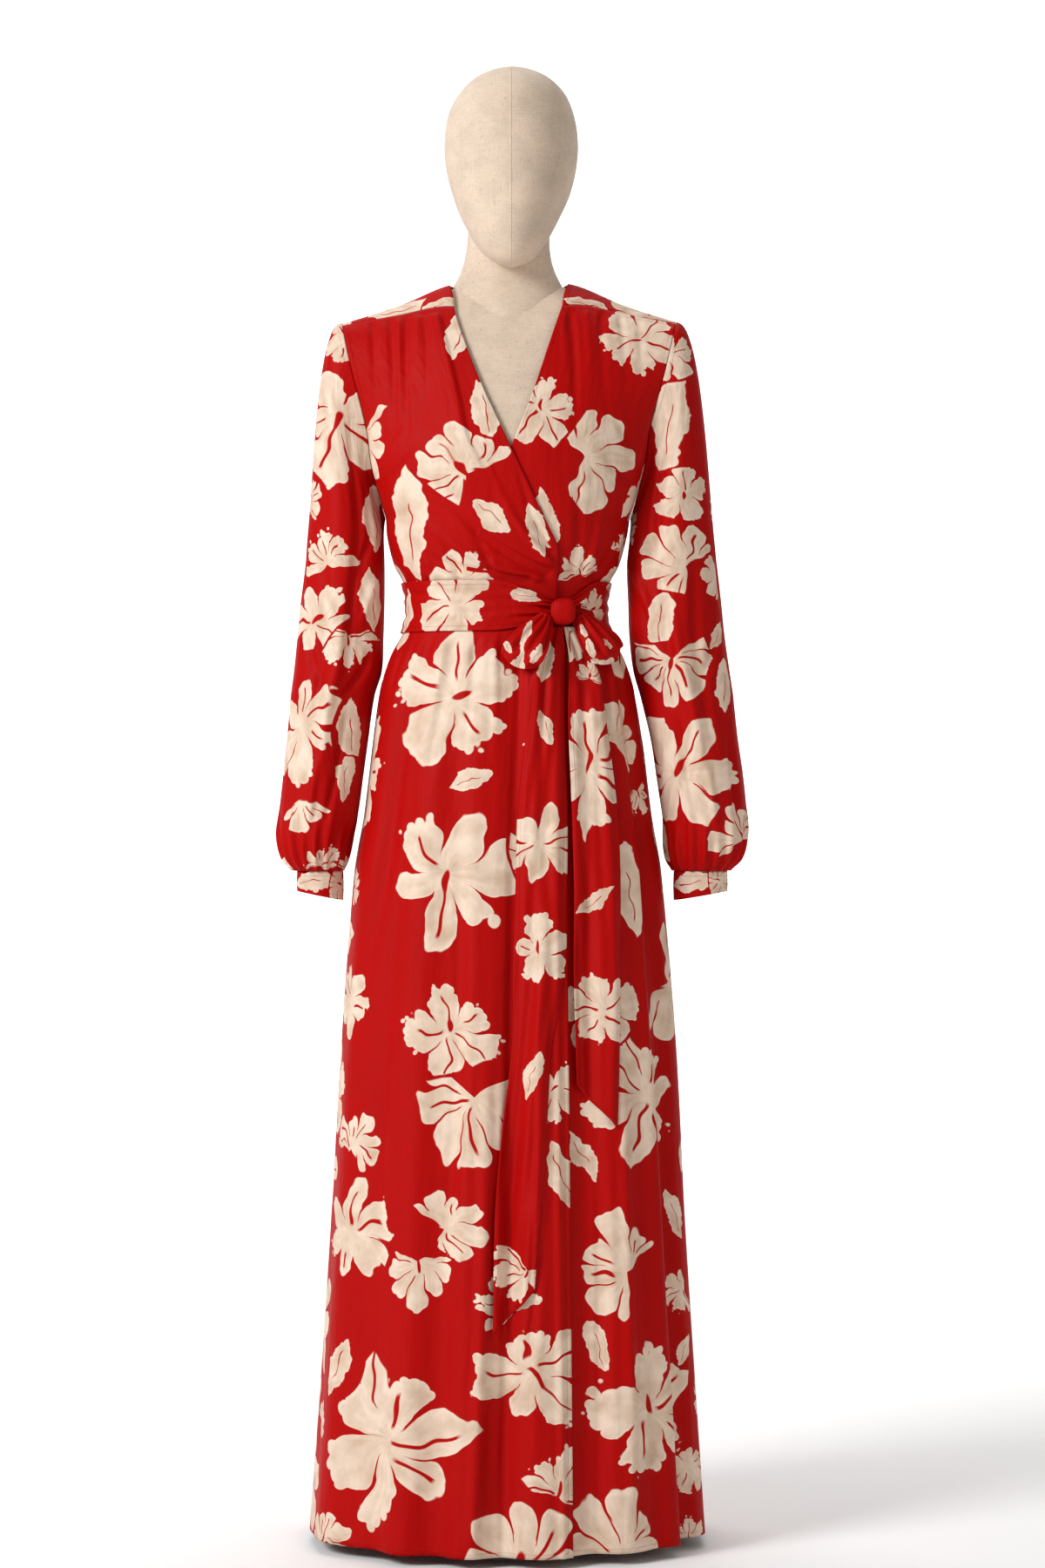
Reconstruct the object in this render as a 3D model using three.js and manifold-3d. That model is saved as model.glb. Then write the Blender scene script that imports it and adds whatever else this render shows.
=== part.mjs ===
// A long kimono-style wrap dress with balloon sleeves and a tied sash, on a limbless display form.
// Millimetres. X runs to the viewer's right, the front faces -Y, +Z is up, the floor is at z = 0.
// "Right" and "left" in the names are the wearer's: the wearer's right side is at negative X.
import * as THREE from "three";
import Module from "manifold-3d";
import { mergeVertices } from "three/addons/utils/BufferGeometryUtils.js";

const wasm = await Module();
wasm.setup();

// Driving dimensions
const WALL = 1.6; // thickness of the cloth
const SEAM_GAP = 0.3; // space between two pieces at a seam
const ARMHOLE_GAP = 0.4; // the same at the armhole, where the two walls lean together
const BODICE_LAP = 3; // how far the under front lies behind the over front
const SKIRT_LAP = 4;
const TORSO_CENTRE = { underarm: -5, shoulder: -3.5 };
const LAP_BLEND = 40; // width over which the under front comes level again
const WAIST_Z = 1106;
const UNDERARM_Z = 1215;
const HEM_Z = 12;
const HEM_SIDE_RISE = 3;
const ARMHOLE_DEPTH = 50; // half the armhole's width from front to back
const RING_POWER = 2.2; // how square the body's rings are, 2 being an ellipse
const BUST_RISE = 8;

const RIGHT = -1; // the wearer's right is at negative X
const LEFT = 1;

// The dress's rings from the hem to the underarm
const BODY_ROWS = [
  { z: 12, half: 235, front: 197, back: 190, centre: -6.5 },
  { z: 171, half: 224, front: 182, back: 180, centre: -5.5 },
  { z: 379, half: 211, front: 164, back: 164, centre: -5 },
  { z: 587, half: 200, front: 146, back: 148, centre: -4 },
  { z: 796, half: 183, front: 127, back: 133, centre: -5 },
  { z: 857, half: 172.5, front: 122, back: 130, centre: -5 },
  { z: 900, half: 167, front: 118, back: 126, centre: -5 },
  { z: 947, half: 161.5, front: 114, back: 122, centre: -5 },
  { z: 1000, half: 153.5, front: 108, back: 113, centre: -6 },
  { z: 1022, half: 149, front: 104, back: 106, centre: -6 },
  { z: 1055, half: 137, front: 97, back: 92, centre: -6.5 },
  { z: 1079, half: 124, front: 90, back: 80, centre: -6.5 },
  { z: 1106, half: 117, front: 84, back: 74, centre: -6.5 },
  { z: 1138, half: 123, front: 91, back: 79, centre: -6.5 },
  { z: 1159, half: 134, front: 99, back: 87, centre: -6.5 },
  { z: 1193, half: 143, front: 108, back: 94, centre: -6 },
  { z: 1215, half: 145.5, front: 112, back: 97, centre: -5 },
];

// Half the width between the armholes, by the share of the height from underarm to shoulder
const ARM_LINE_ROWS = [
  { share: 0, half: 145.5 },
  { share: 0.09, half: 152 },
  { share: 0.25, half: 162 },
  { share: 0.43, half: 168 },
  { share: 0.74, half: 186 },
  { share: 1, half: 199 },
];

// The shoulder line, by the distance from the middle
const SHOULDER_ROWS = [
  { x: 0, z: 1500 },
  { x: 71, z: 1495 },
  { x: 130, z: 1471 },
  { x: 160, z: 1460.5 },
  { x: 200, z: 1448 },
];

// The neckline edges of the over front and of the under front, down to the waist seam
const OVER_EDGE_ROWS = [
  { z: 1106, x: 52 },
  { z: 1140, x: 54 },
  { z: 1176, x: 54 },
  { z: 1202, x: 42 },
  { z: 1235, x: 26 },
  { z: 1262, x: 13 },
  { z: 1288, x: 1 },
  { z: 1326, x: -17 },
  { z: 1373, x: -38 },
  { z: 1426, x: -58 },
  { z: 1458, x: -68 },
];
const UNDER_EDGE_ROWS = [
  { z: 1106, x: -58 },
  { z: 1160, x: -52 },
  { z: 1200, x: -38 },
  { z: 1240, x: -20 },
  { z: 1287, x: -3 },
  { z: 1308, x: 5 },
  { z: 1352, x: 22.5 },
  { z: 1377, x: 31 },
  { z: 1430, x: 48 },
  { z: 1466, x: 60 },
];

// The wrap edge of the over skirt and the hidden edge of the under skirt
const OVER_SKIRT_EDGE = { waistX: 62, hemX: 71 };
const UNDER_SKIRT_EDGE = { waistX: -60, hemX: -78 };

// Long folds of the skirt: degrees from the front towards the viewer's right, ridges positive
const SKIRT_FOLD_ROWS = [
  { top: -66, hem: -64, width: 14, topDepth: 1, hemDepth: 6 },
  { top: -45, hem: -43, width: 12, topDepth: -2, hemDepth: -8 },
  { top: -35, hem: -33, width: 10, topDepth: 1, hemDepth: 5 },
  { top: -22, hem: -21, width: 9, topDepth: -2, hemDepth: -8 },
  { top: -13, hem: -12, width: 9, topDepth: 1, hemDepth: 4 },
  { top: 4, hem: -2, width: 8, topDepth: -3, hemDepth: -9 },
  { top: 11, hem: 11, width: 8, topDepth: 1, hemDepth: 5 },
  { top: 28, hem: 26, width: 8, topDepth: -3, hemDepth: -9 },
  { top: 40, hem: 38, width: 12, topDepth: 1, hemDepth: 6 },
  { top: 54, hem: 55, width: 9, topDepth: 2, hemDepth: 8 },
  { top: 63, hem: 64, width: 8, topDepth: -2, hemDepth: -12 },
  { top: 77, hem: 76, width: 10, topDepth: 0, hemDepth: 5 },
  { top: 100, hem: 100, width: 12, topDepth: -1, hemDepth: -6 },
  { top: 116, hem: 115, width: 13, topDepth: 1, hemDepth: 7 },
  { top: 134, hem: 133, width: 11, topDepth: -2, hemDepth: -9 },
  { top: 150, hem: 149, width: 12, topDepth: 1, hemDepth: 7 },
  { top: 166, hem: 166, width: 10, topDepth: -2, hemDepth: -8 },
  { top: 181, hem: 182, width: 12, topDepth: 1, hemDepth: 8 },
  { top: 197, hem: 198, width: 11, topDepth: -2, hemDepth: -9 },
  { top: 213, hem: 214, width: 12, topDepth: 1, hemDepth: 6 },
  { top: 229, hem: 230, width: 12, topDepth: -2, hemDepth: -8 },
  { top: 246, hem: 245, width: 12, topDepth: 1, hemDepth: 7 },
  { top: 262, hem: 262, width: 10, topDepth: -1, hemDepth: -5 },
];
const SKIRT_FOLD_TOP_Z = 1079;
const SKIRT_FRONT_COLUMNS = 28;
const SKIRT_BACK_COLUMNS = 38;
const SKIRT_BANDS = 10;

// Small gathers under the sash: the degrees at which they lie, and how far down they reach
const WAIST_GATHER_DEGREES = [
  -77, -67, -58, -50, -41, -31, -20, -9, 33, 44, 54, 66, 78,
  101, 113, 127, 139, 152, 167, 180, 194, 208, 221, 233, 246, 259,
];
const WAIST_GATHER = { width: 5.5, depth: 2.2, top: 1074, middle: 1048, bottom: 975 };

// Soft gathers that the yoke seam holds on each front, by X at the seam
const YOKE_GATHER_ROWS = [
  { x: -166, width: 10, depth: -1.6 },
  { x: -145, width: 9, depth: -1.4 },
  { x: -124, width: 10, depth: -1.8 },
  { x: -103, width: 9, depth: -1.3 },
  { x: 70, width: 9, depth: -2.6 },
  { x: 106, width: 9, depth: -1.4 },
  { x: 128, width: 10, depth: -1.6 },
  { x: 150, width: 9, depth: -1.2 },
];
const YOKE_GATHER_REACH = { top: 1455, bottom: 1310 };

// The pleat that runs down from the yoke beside the over front's neckline
const PLEAT_ROWS = [
  { z: 1215, x: -5 },
  { z: 1262, x: -26 },
  { z: 1300, x: -46 },
  { z: 1345, x: -56 },
  { z: 1405, x: -70 },
  { z: 1450, x: -81 },
];
const PLEAT = { depth: 2.4, edge: 9, spread: 60, bottom: 1225, full: 1310 };

// Where the yoke's seams run, as a share of the way from the underarm over the shoulder
const RISE_STEP = 1 / 16; // the armhole's seam points, the same on the sleeve and on the body
const YOKE_FRONT_RISE = { neck: 0.69, armhole: 14 * RISE_STEP };
const YOKE_BACK_RISE = 7 * RISE_STEP;
const SEAM_RISE = 0.0015; // half a seam gap in the same share

// The yoke's neck edge from a front seam to the middle of the back, by the place of its points.
// rise runs from 0 at the front underarm over 1 at the shoulder line to 2 at the back underarm.
const YOKE_ROWS = [
  { place: 0, neckShare: 0.36, neckRise: YOKE_FRONT_RISE.neck },
  { place: 1, neckShare: 0.36, neckRise: 0.85 },
  { place: 2, neckShare: 0.355, neckRise: 1 },
  { place: 5, neckShare: 0.338, neckRise: 1.06 },
  { place: 8, neckShare: 0.3, neckRise: 1.12 },
  { place: 11, neckShare: 0.235, neckRise: 1.18 },
  { place: 16, neckShare: 0.12, neckRise: 1.235 },
  { place: 20, neckShare: 0, neckRise: 1.252 },
];
const YOKE_CORNER_PLACE = 11; // where the armhole meets the seam across the back
const YOKE_LAST_PLACE = 20;
const YOKE_ACROSS = 6;
const BACK_COLUMNS = 18; // as many as the yoke has between its two corners
const FRONT_COLUMNS = 12; // twice as many as the yoke has across

// The sleeves' rings from the cuff up, with X as the distance from the dress's middle
const RIGHT_SLEEVE_ROWS = [
  { z: 796, middle: 231, half: 30, y: -14, depth: 31 },
  { z: 811, middle: 234, half: 38, y: -14, depth: 39 },
  { z: 837, middle: 234, half: 44.5, y: -13, depth: 46 },
  { z: 857, middle: 231, half: 47, y: -12, depth: 49 },
  { z: 909, middle: 225, half: 48, y: -10, depth: 51 },
  { z: 951, middle: 220, half: 48.7, y: -9, depth: 52 },
  { z: 1003, middle: 214, half: 50, y: -7, depth: 53 },
  { z: 1034, middle: 207.5, half: 52.5, y: -6, depth: 54 },
  { z: 1076, middle: 204.5, half: 51.4, y: -4, depth: 54 },
  { z: 1117, middle: 202, half: 50, y: -3, depth: 53 },
  { z: 1159, middle: 199.5, half: 47.5, y: -1, depth: 52 },
  { z: 1190, middle: 199, half: 46, y: 0, depth: 52 },
];
const LEFT_SLEEVE_ROWS = [
  { z: 796, middle: 225, half: 33.5, y: -16, depth: 33 },
  { z: 811, middle: 228, half: 43.5, y: -16, depth: 42 },
  { z: 837, middle: 229.5, half: 49, y: -15, depth: 48 },
  { z: 857, middle: 229.5, half: 50.5, y: -14, depth: 51 },
  { z: 909, middle: 223.6, half: 52, y: -12, depth: 53 },
  { z: 951, middle: 217.5, half: 52.2, y: -10, depth: 54 },
  { z: 1003, middle: 208.5, half: 55.5, y: -8, depth: 55 },
  { z: 1034, middle: 202, half: 57.5, y: -6, depth: 56 },
  { z: 1076, middle: 196.7, half: 57, y: -4, depth: 56 },
  { z: 1117, middle: 194, half: 55.6, y: -3, depth: 54 },
  { z: 1159, middle: 191, half: 54, y: -1, depth: 53 },
  { z: 1190, middle: 191, half: 51, y: 0, depth: 52 },
];
const SLEEVE_FREE_Z = 1190; // below this the sleeve's rings are level
const SLEEVE_CAP_ROWS = 5;
const SLEEVE_RING_HEIGHTS = [1190, 1125, 1060, 1003, 945, 890, 852, 822, 796];
const SLEEVE_COLUMNS = 2 / RISE_STEP;
const CUFF_GATHERS = { count: 16, depth: 2.4, top: 900, bottom: 811 };

// Long folds of the sleeves: degrees from the inner side over the front, ridges positive
const SLEEVE_FOLD_ROWS = [
  { angle: 62, width: 26, depth: -4, top: 1330, bottom: 850 },
  { angle: 128, width: 30, depth: -3, top: 1250, bottom: 900 },
  { angle: 215, width: 28, depth: -3.5, top: 1300, bottom: 870 },
  { angle: 292, width: 28, depth: -4, top: 1280, bottom: 860 },
];

const CUFF_WALL = 2;
const RIGHT_CUFF = { middle: 228.5, half: 27.5, y: -14, depth: 28, top: 795.7, outer: 772, inner: 761 };
const LEFT_CUFF = { middle: 224.5, half: 32, y: -16, depth: 31, top: 795.7, outer: 772, inner: 761 };

// The sash round the waist and the bow at its front
const BELT = { top: 1138, bottom: 1079, lift: 1.6, knotX: 60, pinch: 0.62, leftReach: 44, rightReach: 26 };
const BELT_FOLD = { depth: 1.1, count: 1 };
const BELT_COLUMNS = 48;
const BELT_BANDS = 4;
const KNOT = { x: 60, z: 1101, half: 14.5, height: 16, depth: 11, lift: 4.4, wall: 2, mouth: 0.5 };

// Bow loops and free ends: their middle line on the dress's front, their half width there,
// and how far they stand off the cloth below. The rows run down from the knot.
const RIGHT_LOOP_ROWS = [
  { x: 37, z: 1098, half: 5, near: 11, far: 17 },
  { x: 31, z: 1086, half: 12, near: 8, far: 20 },
  { x: 20, z: 1068, half: 20, near: 6.5, far: 27 },
  { x: 10, z: 1050, half: 23, near: 6.5, far: 27 },
  { x: 4, z: 1038, half: 21, near: 9, far: 19 },
];
const LEFT_LOOP_ROWS = [
  { x: 71.2, z: 1099, half: 5, near: 11, far: 17 },
  { x: 79, z: 1086, half: 11, near: 8, far: 19 },
  { x: 89, z: 1068, half: 16, near: 6.5, far: 24 },
  { x: 97, z: 1053, half: 16, near: 6.5, far: 24 },
  { x: 103, z: 1042, half: 14, near: 9, far: 18 },
];
const RIGHT_TIE_ROWS = [
  { x: 52, z: 1083.5, half: 6, lift: 4.5 },
  { x: 47, z: 1055, half: 15, lift: 3.2 },
  { x: 43, z: 1022, half: 20, lift: 2.8 },
  { x: 40, z: 965, half: 23, lift: 2.6 },
  { x: 36, z: 875, half: 29, lift: 2.6 },
  { x: 34, z: 770, half: 30, lift: 2.6 },
  { x: 32, z: 680, half: 30, lift: 2.6 },
  { x: 24, z: 600, half: 23, lift: 2.6 },
  { x: 15, z: 500, half: 25, lift: 2.6 },
  { x: 7, z: 400, half: 26, lift: 2.6 },
  { x: 2, z: 290, half: 24, lift: 2.6 },
];
const LEFT_TIE_ROWS = [
  { x: 65, z: 1083.5, half: 6, lift: 4.5 },
  { x: 76, z: 1055, half: 12, lift: 3.2 },
  { x: 84, z: 1022, half: 18, lift: 2.8 },
  { x: 88, z: 965, half: 22, lift: 2.6 },
  { x: 94, z: 875, half: 25, lift: 2.6 },
  { x: 98, z: 770, half: 26, lift: 2.6 },
  { x: 98, z: 680, half: 26, lift: 2.6 },
  { x: 98, z: 600, half: 24, lift: 2.6 },
  { x: 98, z: 525, half: 22, lift: 2.6 },
];
const LOOP_BELLY = { top: 5, under: 1, width: 1.25 }; // how far a loop's two layers bow out
const TIE_END_SLANT = 26; // how much lower a tie's outer corner hangs than its inner one
const TIE_FOLD = { depth: 1.2, waves: 1.5 };

// The display form
const FORM_INSET = 5.4;
const FORM_ROWS = [
  { z: 760, half: 128, front: 88, back: 96, centre: -5 },
  { z: 766, half: 142, front: 99, back: 108, centre: -5 },
  { z: 780, half: 152, front: 106, back: 116, centre: -5 },
  { z: 840, half: 158, front: 105, back: 114, centre: -5 },
  { z: 900, half: 155, front: 103, back: 112, centre: -5 },
  { z: 950, half: 149, front: 99, back: 107, centre: -5 },
  { z: 1000, half: 140, front: 94, back: 99, centre: -6 },
  { z: 1055, half: 125, front: 84, back: 81, centre: -6.5 },
  { z: 1106, half: 110, front: 77, back: 68, centre: -6.5 },
  { z: 1138, half: 115, front: 83, back: 73, centre: -6.5 },
  { z: 1159, half: 124, front: 91, back: 81, centre: -6.5 },
  { z: 1193, half: 137, front: 101, back: 88, centre: -6 },
  { z: 1215, half: 140.1, front: 106, back: 91.8, centre: -5 },
];
const FORM_RISES = [0.12, 0.25, 0.38, 0.5, 0.6, 0.7, 0.79, 0.87, 0.93, 0.97];
const FORM_COLUMNS = 28;
const FORM_STUMP = 9; // how far the form's armhole ends bulge
const FORM_STUMP_DEGREES = 10;

const NECK_ROWS = [
  { z: 1440, half: 52, y: 2, depth: 40, centre: -4 },
  { z: 1470, half: 58, y: 3, depth: 43, centre: -4 },
  { z: 1485, half: 59, y: 5, depth: 43, centre: -4 },
  { z: 1497, half: 57.5, y: 7, depth: 43, centre: -5 },
  { z: 1513, half: 54.5, y: 8, depth: 45, centre: -5 },
  { z: 1533, half: 51, y: 8, depth: 47, centre: -5 },
  { z: 1554, half: 50, y: 8, depth: 48, centre: -4 },
  { z: 1585, half: 47, y: 5, depth: 48, centre: -3 },
  { z: 1620, half: 38, y: 0, depth: 38, centre: -2 },
];
const HEAD_ROWS = [
  { z: 1508, half: 4, y: -60, depth: 4, centre: 0 },
  { z: 1513, half: 18, y: -60, depth: 20, centre: 0 },
  { z: 1522, half: 30, y: -57, depth: 34, centre: -1 },
  { z: 1536, half: 41, y: -51, depth: 49, centre: -2 },
  { z: 1554, half: 51, y: -42, depth: 62, centre: -2 },
  { z: 1575, half: 61, y: -32, depth: 73, centre: -2 },
  { z: 1596, half: 69, y: -24, depth: 82, centre: -1 },
  { z: 1617, half: 75, y: -17, depth: 88, centre: -1 },
  { z: 1637, half: 78.5, y: -12, depth: 92, centre: -1 },
  { z: 1658, half: 80, y: -8, depth: 94, centre: -1 },
  { z: 1679, half: 78.5, y: -6, depth: 92, centre: -1 },
  { z: 1700, half: 73.8, y: -5, depth: 87, centre: -1 },
  { z: 1720, half: 64, y: -5, depth: 76, centre: 0 },
  { z: 1737, half: 48, y: -5, depth: 58, centre: 0 },
  { z: 1748, half: 28, y: -5, depth: 34, centre: 0 },
  { z: 1754, half: 6, y: -5, depth: 7, centre: 0 },
];
const HEAD_COLUMNS = 20;

const POLE = { radius: 16, top: 759.7, sides: 16 };
const BASE = { radius: 150, height: 11, edge: 3, sides: 32 };

// Small helpers

const lerp = THREE.MathUtils.lerp;
const radians = THREE.MathUtils.degToRad;

function ease(share) {
  const t = THREE.MathUtils.clamp(share, 0, 1);
  return t * t * (3 - 2 * t);
}

// A smooth curve through the rows of a table, read at one value
function along(rows, by, key, value) {
  const last = rows.length - 1;
  if (value <= rows[0][by]) return rows[0][key];
  if (value >= rows[last][by]) return rows[last][key];
  let i = 0;
  while (value > rows[i + 1][by]) i += 1;
  const step = rows[i + 1][by] - rows[i][by];
  const t = (value - rows[i][by]) / step;
  const slope = (a, b) => (rows[b][key] - rows[a][key]) / (rows[b][by] - rows[a][by]);
  const start = slope(Math.max(i - 1, 0), i + 1) * step;
  const end = slope(i, Math.min(i + 2, last)) * step;
  const square = t * t;
  const cube = square * t;
  return (
    (2 * cube - 3 * square + 1) * rows[i][key] +
    (cube - 2 * square + t) * start +
    (3 * square - 2 * cube) * rows[i + 1][key] +
    (cube - square) * end
  );
}

// A rounded hill that is 1 in the middle and 0 from its width outwards
function hill(distance, width) {
  if (Math.abs(distance) >= width) return 0;
  return Math.cos((Math.PI / 2) * (distance / width)) ** 2;
}

function degreesApart(a, b) {
  return ((((a - b + 180) % 360) + 360) % 360) - 180;
}

function ringFullness(share) {
  return Math.max(0, 1 - Math.abs(share) ** RING_POWER) ** (1 / RING_POWER);
}

// A cloth wall: point(u, v) gives its outer face, with u to the right and v up as seen from outside.
// inner(u, v) gives its inner face, or else that lies one wall behind the outer one.
function clothWall(point, columns, rows, { closed = false, wall = WALL, inner = null } = {}) {
  const nudge = 1e-4;
  const positions = [];
  const lines = closed ? columns : columns + 1;
  for (let i = 0; i < lines; i += 1) {
    for (let j = 0; j <= rows; j += 1) {
      const u = i / columns;
      const v = j / rows;
      const outer = point(u, v);
      if (inner) {
        positions.push(...outer.toArray(), ...inner(u, v).toArray());
        continue;
      }
      const lowU = closed ? u - nudge : Math.max(u - nudge, 0);
      const highU = closed ? u + nudge : Math.min(u + nudge, 1);
      const across = point(highU, v).sub(point(lowU, v));
      const up = point(u, Math.min(v + nudge, 1)).sub(point(u, Math.max(v - nudge, 0)));
      const normal = across.cross(up).normalize();
      positions.push(...outer.toArray(), ...outer.addScaledVector(normal, -wall).toArray());
    }
  }
  const outside = (i, j) => ((i % lines) * (rows + 1) + j) * 2;
  const inside = (i, j) => outside(i, j) + 1;
  const indices = [];
  const quad = (a, b, c, d) => indices.push(a, b, c, a, c, d);
  for (let i = 0; i < columns; i += 1) {
    for (let j = 0; j < rows; j += 1) {
      quad(outside(i, j), outside(i + 1, j), outside(i + 1, j + 1), outside(i, j + 1));
      quad(inside(i, j), inside(i, j + 1), inside(i + 1, j + 1), inside(i + 1, j));
    }
    quad(inside(i, 0), inside(i + 1, 0), outside(i + 1, 0), outside(i, 0));
    quad(outside(i, rows), outside(i + 1, rows), inside(i + 1, rows), inside(i, rows));
  }
  for (let j = 0; j < rows && !closed; j += 1) {
    quad(inside(0, j), outside(0, j), outside(0, j + 1), inside(0, j + 1));
    quad(outside(columns, j), inside(columns, j), inside(columns, j + 1), outside(columns, j + 1));
  }
  return geometryOf(positions, indices);
}

function geometryOf(positions, indices) {
  const geometry = new THREE.BufferGeometry();
  geometry.setAttribute("position", new THREE.Float32BufferAttribute(positions, 3));
  geometry.setIndex(indices);
  return geometry;
}

// A solid lofted through closed rings of the same number of points, from the bottom up
function loftSolid(rings) {
  const count = rings[0].length;
  const positions = rings.flat().flatMap((point) => point.toArray());
  const indices = [];
  for (let k = 0; k + 1 < rings.length; k += 1) {
    for (let i = 0; i < count; i += 1) {
      const next = (i + 1) % count;
      const low = k * count;
      const high = low + count;
      indices.push(low + i, low + next, high + next, low + i, high + next, high + i);
    }
  }
  closeRing(indices, 0, count, true);
  closeRing(indices, (rings.length - 1) * count, count, false);
  return geometryOf(positions, indices);
}

// Strips of triangles between the two mirrored halves of a ring
function closeRing(indices, first, count, facingDown) {
  const at = (i) => first + ((i + count) % count);
  const put = (a, b, c) => indices.push(at(a), at(facingDown ? c : b), at(facingDown ? b : c));
  const quarter = count / 4;
  for (let i = 0; i < count / 2; i += 1) {
    const [a, b] = [quarter + i, quarter + i + 1];
    const [c, d] = [quarter - i - 1, quarter - i];
    if (i > 0) put(a, c, d);
    if (i < count / 2 - 1) put(a, b, c);
  }
}

// The dress's body

// A point of the ring at one height, phi being the angle from the front to the viewer's right
function ringPoint(phi, z, lift = 0) {
  const nudge = 1e-4;
  const plain = (angle) => {
    const isFront = Math.cos(angle) >= 0;
    const depth = along(BODY_ROWS, "z", isFront ? "front" : "back", z);
    const y = depth * ringFullness(Math.sin(angle)) * (isFront ? -1 : 1);
    const x = along(BODY_ROWS, "z", "centre", z) + along(BODY_ROWS, "z", "half", z) * Math.sin(angle);
    return new THREE.Vector3(x, y, z);
  };
  const point = plain(phi);
  if (lift === 0) return point;
  const tangent = plain(phi + nudge).sub(plain(phi - nudge)).normalize();
  return point.add(new THREE.Vector3(tangent.y, -tangent.x, 0).multiplyScalar(lift));
}

function skirtFold(phi, z) {
  const degrees = THREE.MathUtils.radToDeg(phi);
  const drop = THREE.MathUtils.clamp((SKIRT_FOLD_TOP_Z - z) / (SKIRT_FOLD_TOP_Z - HEM_Z), 0, 1);
  let fold = 0;
  for (const row of SKIRT_FOLD_ROWS) {
    const middle = lerp(row.top, row.hem, drop);
    fold += lerp(row.topDepth, row.hemDepth, drop) * hill(degreesApart(degrees, middle), row.width);
  }
  fold *= ease((SKIRT_FOLD_TOP_Z - z) / 60);
  const { width, depth, top, middle, bottom } = WAIST_GATHER;
  const reach = z > middle ? ease((top - z) / (top - middle)) : ease((z - bottom) / (middle - bottom));
  for (const gather of WAIST_GATHER_DEGREES) {
    fold += depth * reach * hill(degreesApart(degrees, gather), width);
  }
  return fold;
}

function skirtPoint(phi, z, lift = 0) {
  return ringPoint(phi, z, skirtFold(phi, z) + lift);
}

// The angle at which the ring at one height passes one X in front
function frontAngle(x, z) {
  const share = (x - along(BODY_ROWS, "z", "centre", z)) / along(BODY_ROWS, "z", "half", z);
  return Math.asin(THREE.MathUtils.clamp(share, -1, 1));
}

function edgeX(edge, z) {
  return lerp(edge.hemX, edge.waistX, z / WAIST_Z);
}

function hemZ(phi) {
  return HEM_Z + HEM_SIDE_RISE * Math.sin(phi) ** 2;
}

// A height on the skirt: closer rows near the waist, where the gathers are
function skirtHeight(phi, v) {
  const low = hemZ(phi);
  const high = WAIST_Z - SEAM_GAP / 2;
  return low + (high - low) * (1 - (1 - v) ** 1.7);
}

function skirtFrontRight() {
  const point = (u, v) => {
    const z = skirtHeight(lerp(-Math.PI / 2, radians(18), u), v);
    const phi = lerp(-Math.PI / 2, frontAngle(edgeX(OVER_SKIRT_EDGE, z), z), u);
    return skirtPoint(phi, z).add(new THREE.Vector3(0, -SEAM_GAP / 2, 0));
  };
  return clothWall(point, SKIRT_FRONT_COLUMNS, SKIRT_BANDS);
}

function skirtFrontLeft() {
  const point = (u, v) => {
    const z = skirtHeight(lerp(radians(-20), Math.PI / 2, u), v);
    const phi = lerp(frontAngle(edgeX(UNDER_SKIRT_EDGE, z), z), Math.PI / 2, u);
    const past = ringPoint(phi, z).x - edgeX(OVER_SKIRT_EDGE, z);
    const lift = -SKIRT_LAP * (1 - ease(past / LAP_BLEND));
    return skirtPoint(phi, z, lift).add(new THREE.Vector3(0, -SEAM_GAP / 2, 0));
  };
  return clothWall(point, SKIRT_FRONT_COLUMNS, SKIRT_BANDS);
}

function skirtBack() {
  const point = (u, v) => {
    const phi = lerp(Math.PI / 2, Math.PI * 1.5, u);
    return skirtPoint(phi, skirtHeight(phi, v)).add(new THREE.Vector3(0, SEAM_GAP / 2, 0));
  };
  return clothWall(point, SKIRT_BACK_COLUMNS, SKIRT_BANDS);
}

// The torso: share runs from -1 at the right armhole to 1 at the left one, rise from -1 at the
// waist over 0 at the underarm to 1 at the shoulder line, in front or at the back
function torsoPoint(share, rise, isBack, inset = 0) {
  if (rise <= 0) {
    const phi = Math.asin(THREE.MathUtils.clamp(share, -1, 1));
    const z = UNDERARM_Z + rise * (UNDERARM_Z - WAIST_Z);
    return ringPoint(isBack ? Math.PI - phi : phi, z);
  }
  const psi = (Math.min(rise, 1) * Math.PI) / 2;
  const height = Math.sin(psi);
  const underarm = BODY_ROWS[BODY_ROWS.length - 1];
  const half = along(ARM_LINE_ROWS, "share", "half", height) - inset;
  const x = lerp(TORSO_CENTRE.underarm, TORSO_CENTRE.shoulder, height) + half * share;
  const top = along(SHOULDER_ROWS, "x", "z", Math.abs(x)) - inset;
  const z = UNDERARM_Z + (top - UNDERARM_Z) * height;
  const side = ARMHOLE_DEPTH * Math.sin(Math.min(2 * psi, Math.PI)) ** 0.7 * (1 - inset / ARMHOLE_DEPTH);
  const frontMiddle = underarm.front * (1 - height ** 2.2) ** 0.55 + BUST_RISE * hill(height - 0.28, 0.28);
  const backMiddle = underarm.back * (1 - height ** 5) ** 0.5;
  const middle = (isBack ? backMiddle : frontMiddle) * (1 - inset / underarm.back);
  const fullness = lerp(ringFullness(share), 1 - Math.abs(share) ** 2.4, ease(rise / 0.5));
  const y = side + (middle - side) * fullness;
  return new THREE.Vector3(x, isBack ? y : -y, z);
}

// The share at which the torso's front passes an edge table's X at one rise
function edgeShare(rows, rise) {
  let x = 0;
  let share = 0;
  for (let pass = 0; pass < 12; pass += 1) {
    const z = torsoPoint(share, rise, false).z;
    x = along(rows, "z", "x", z);
    const middle = torsoPoint(0, rise, false).x;
    const half = torsoPoint(1, rise, false).x - middle;
    share = (x - middle) / half;
  }
  return share;
}

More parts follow.
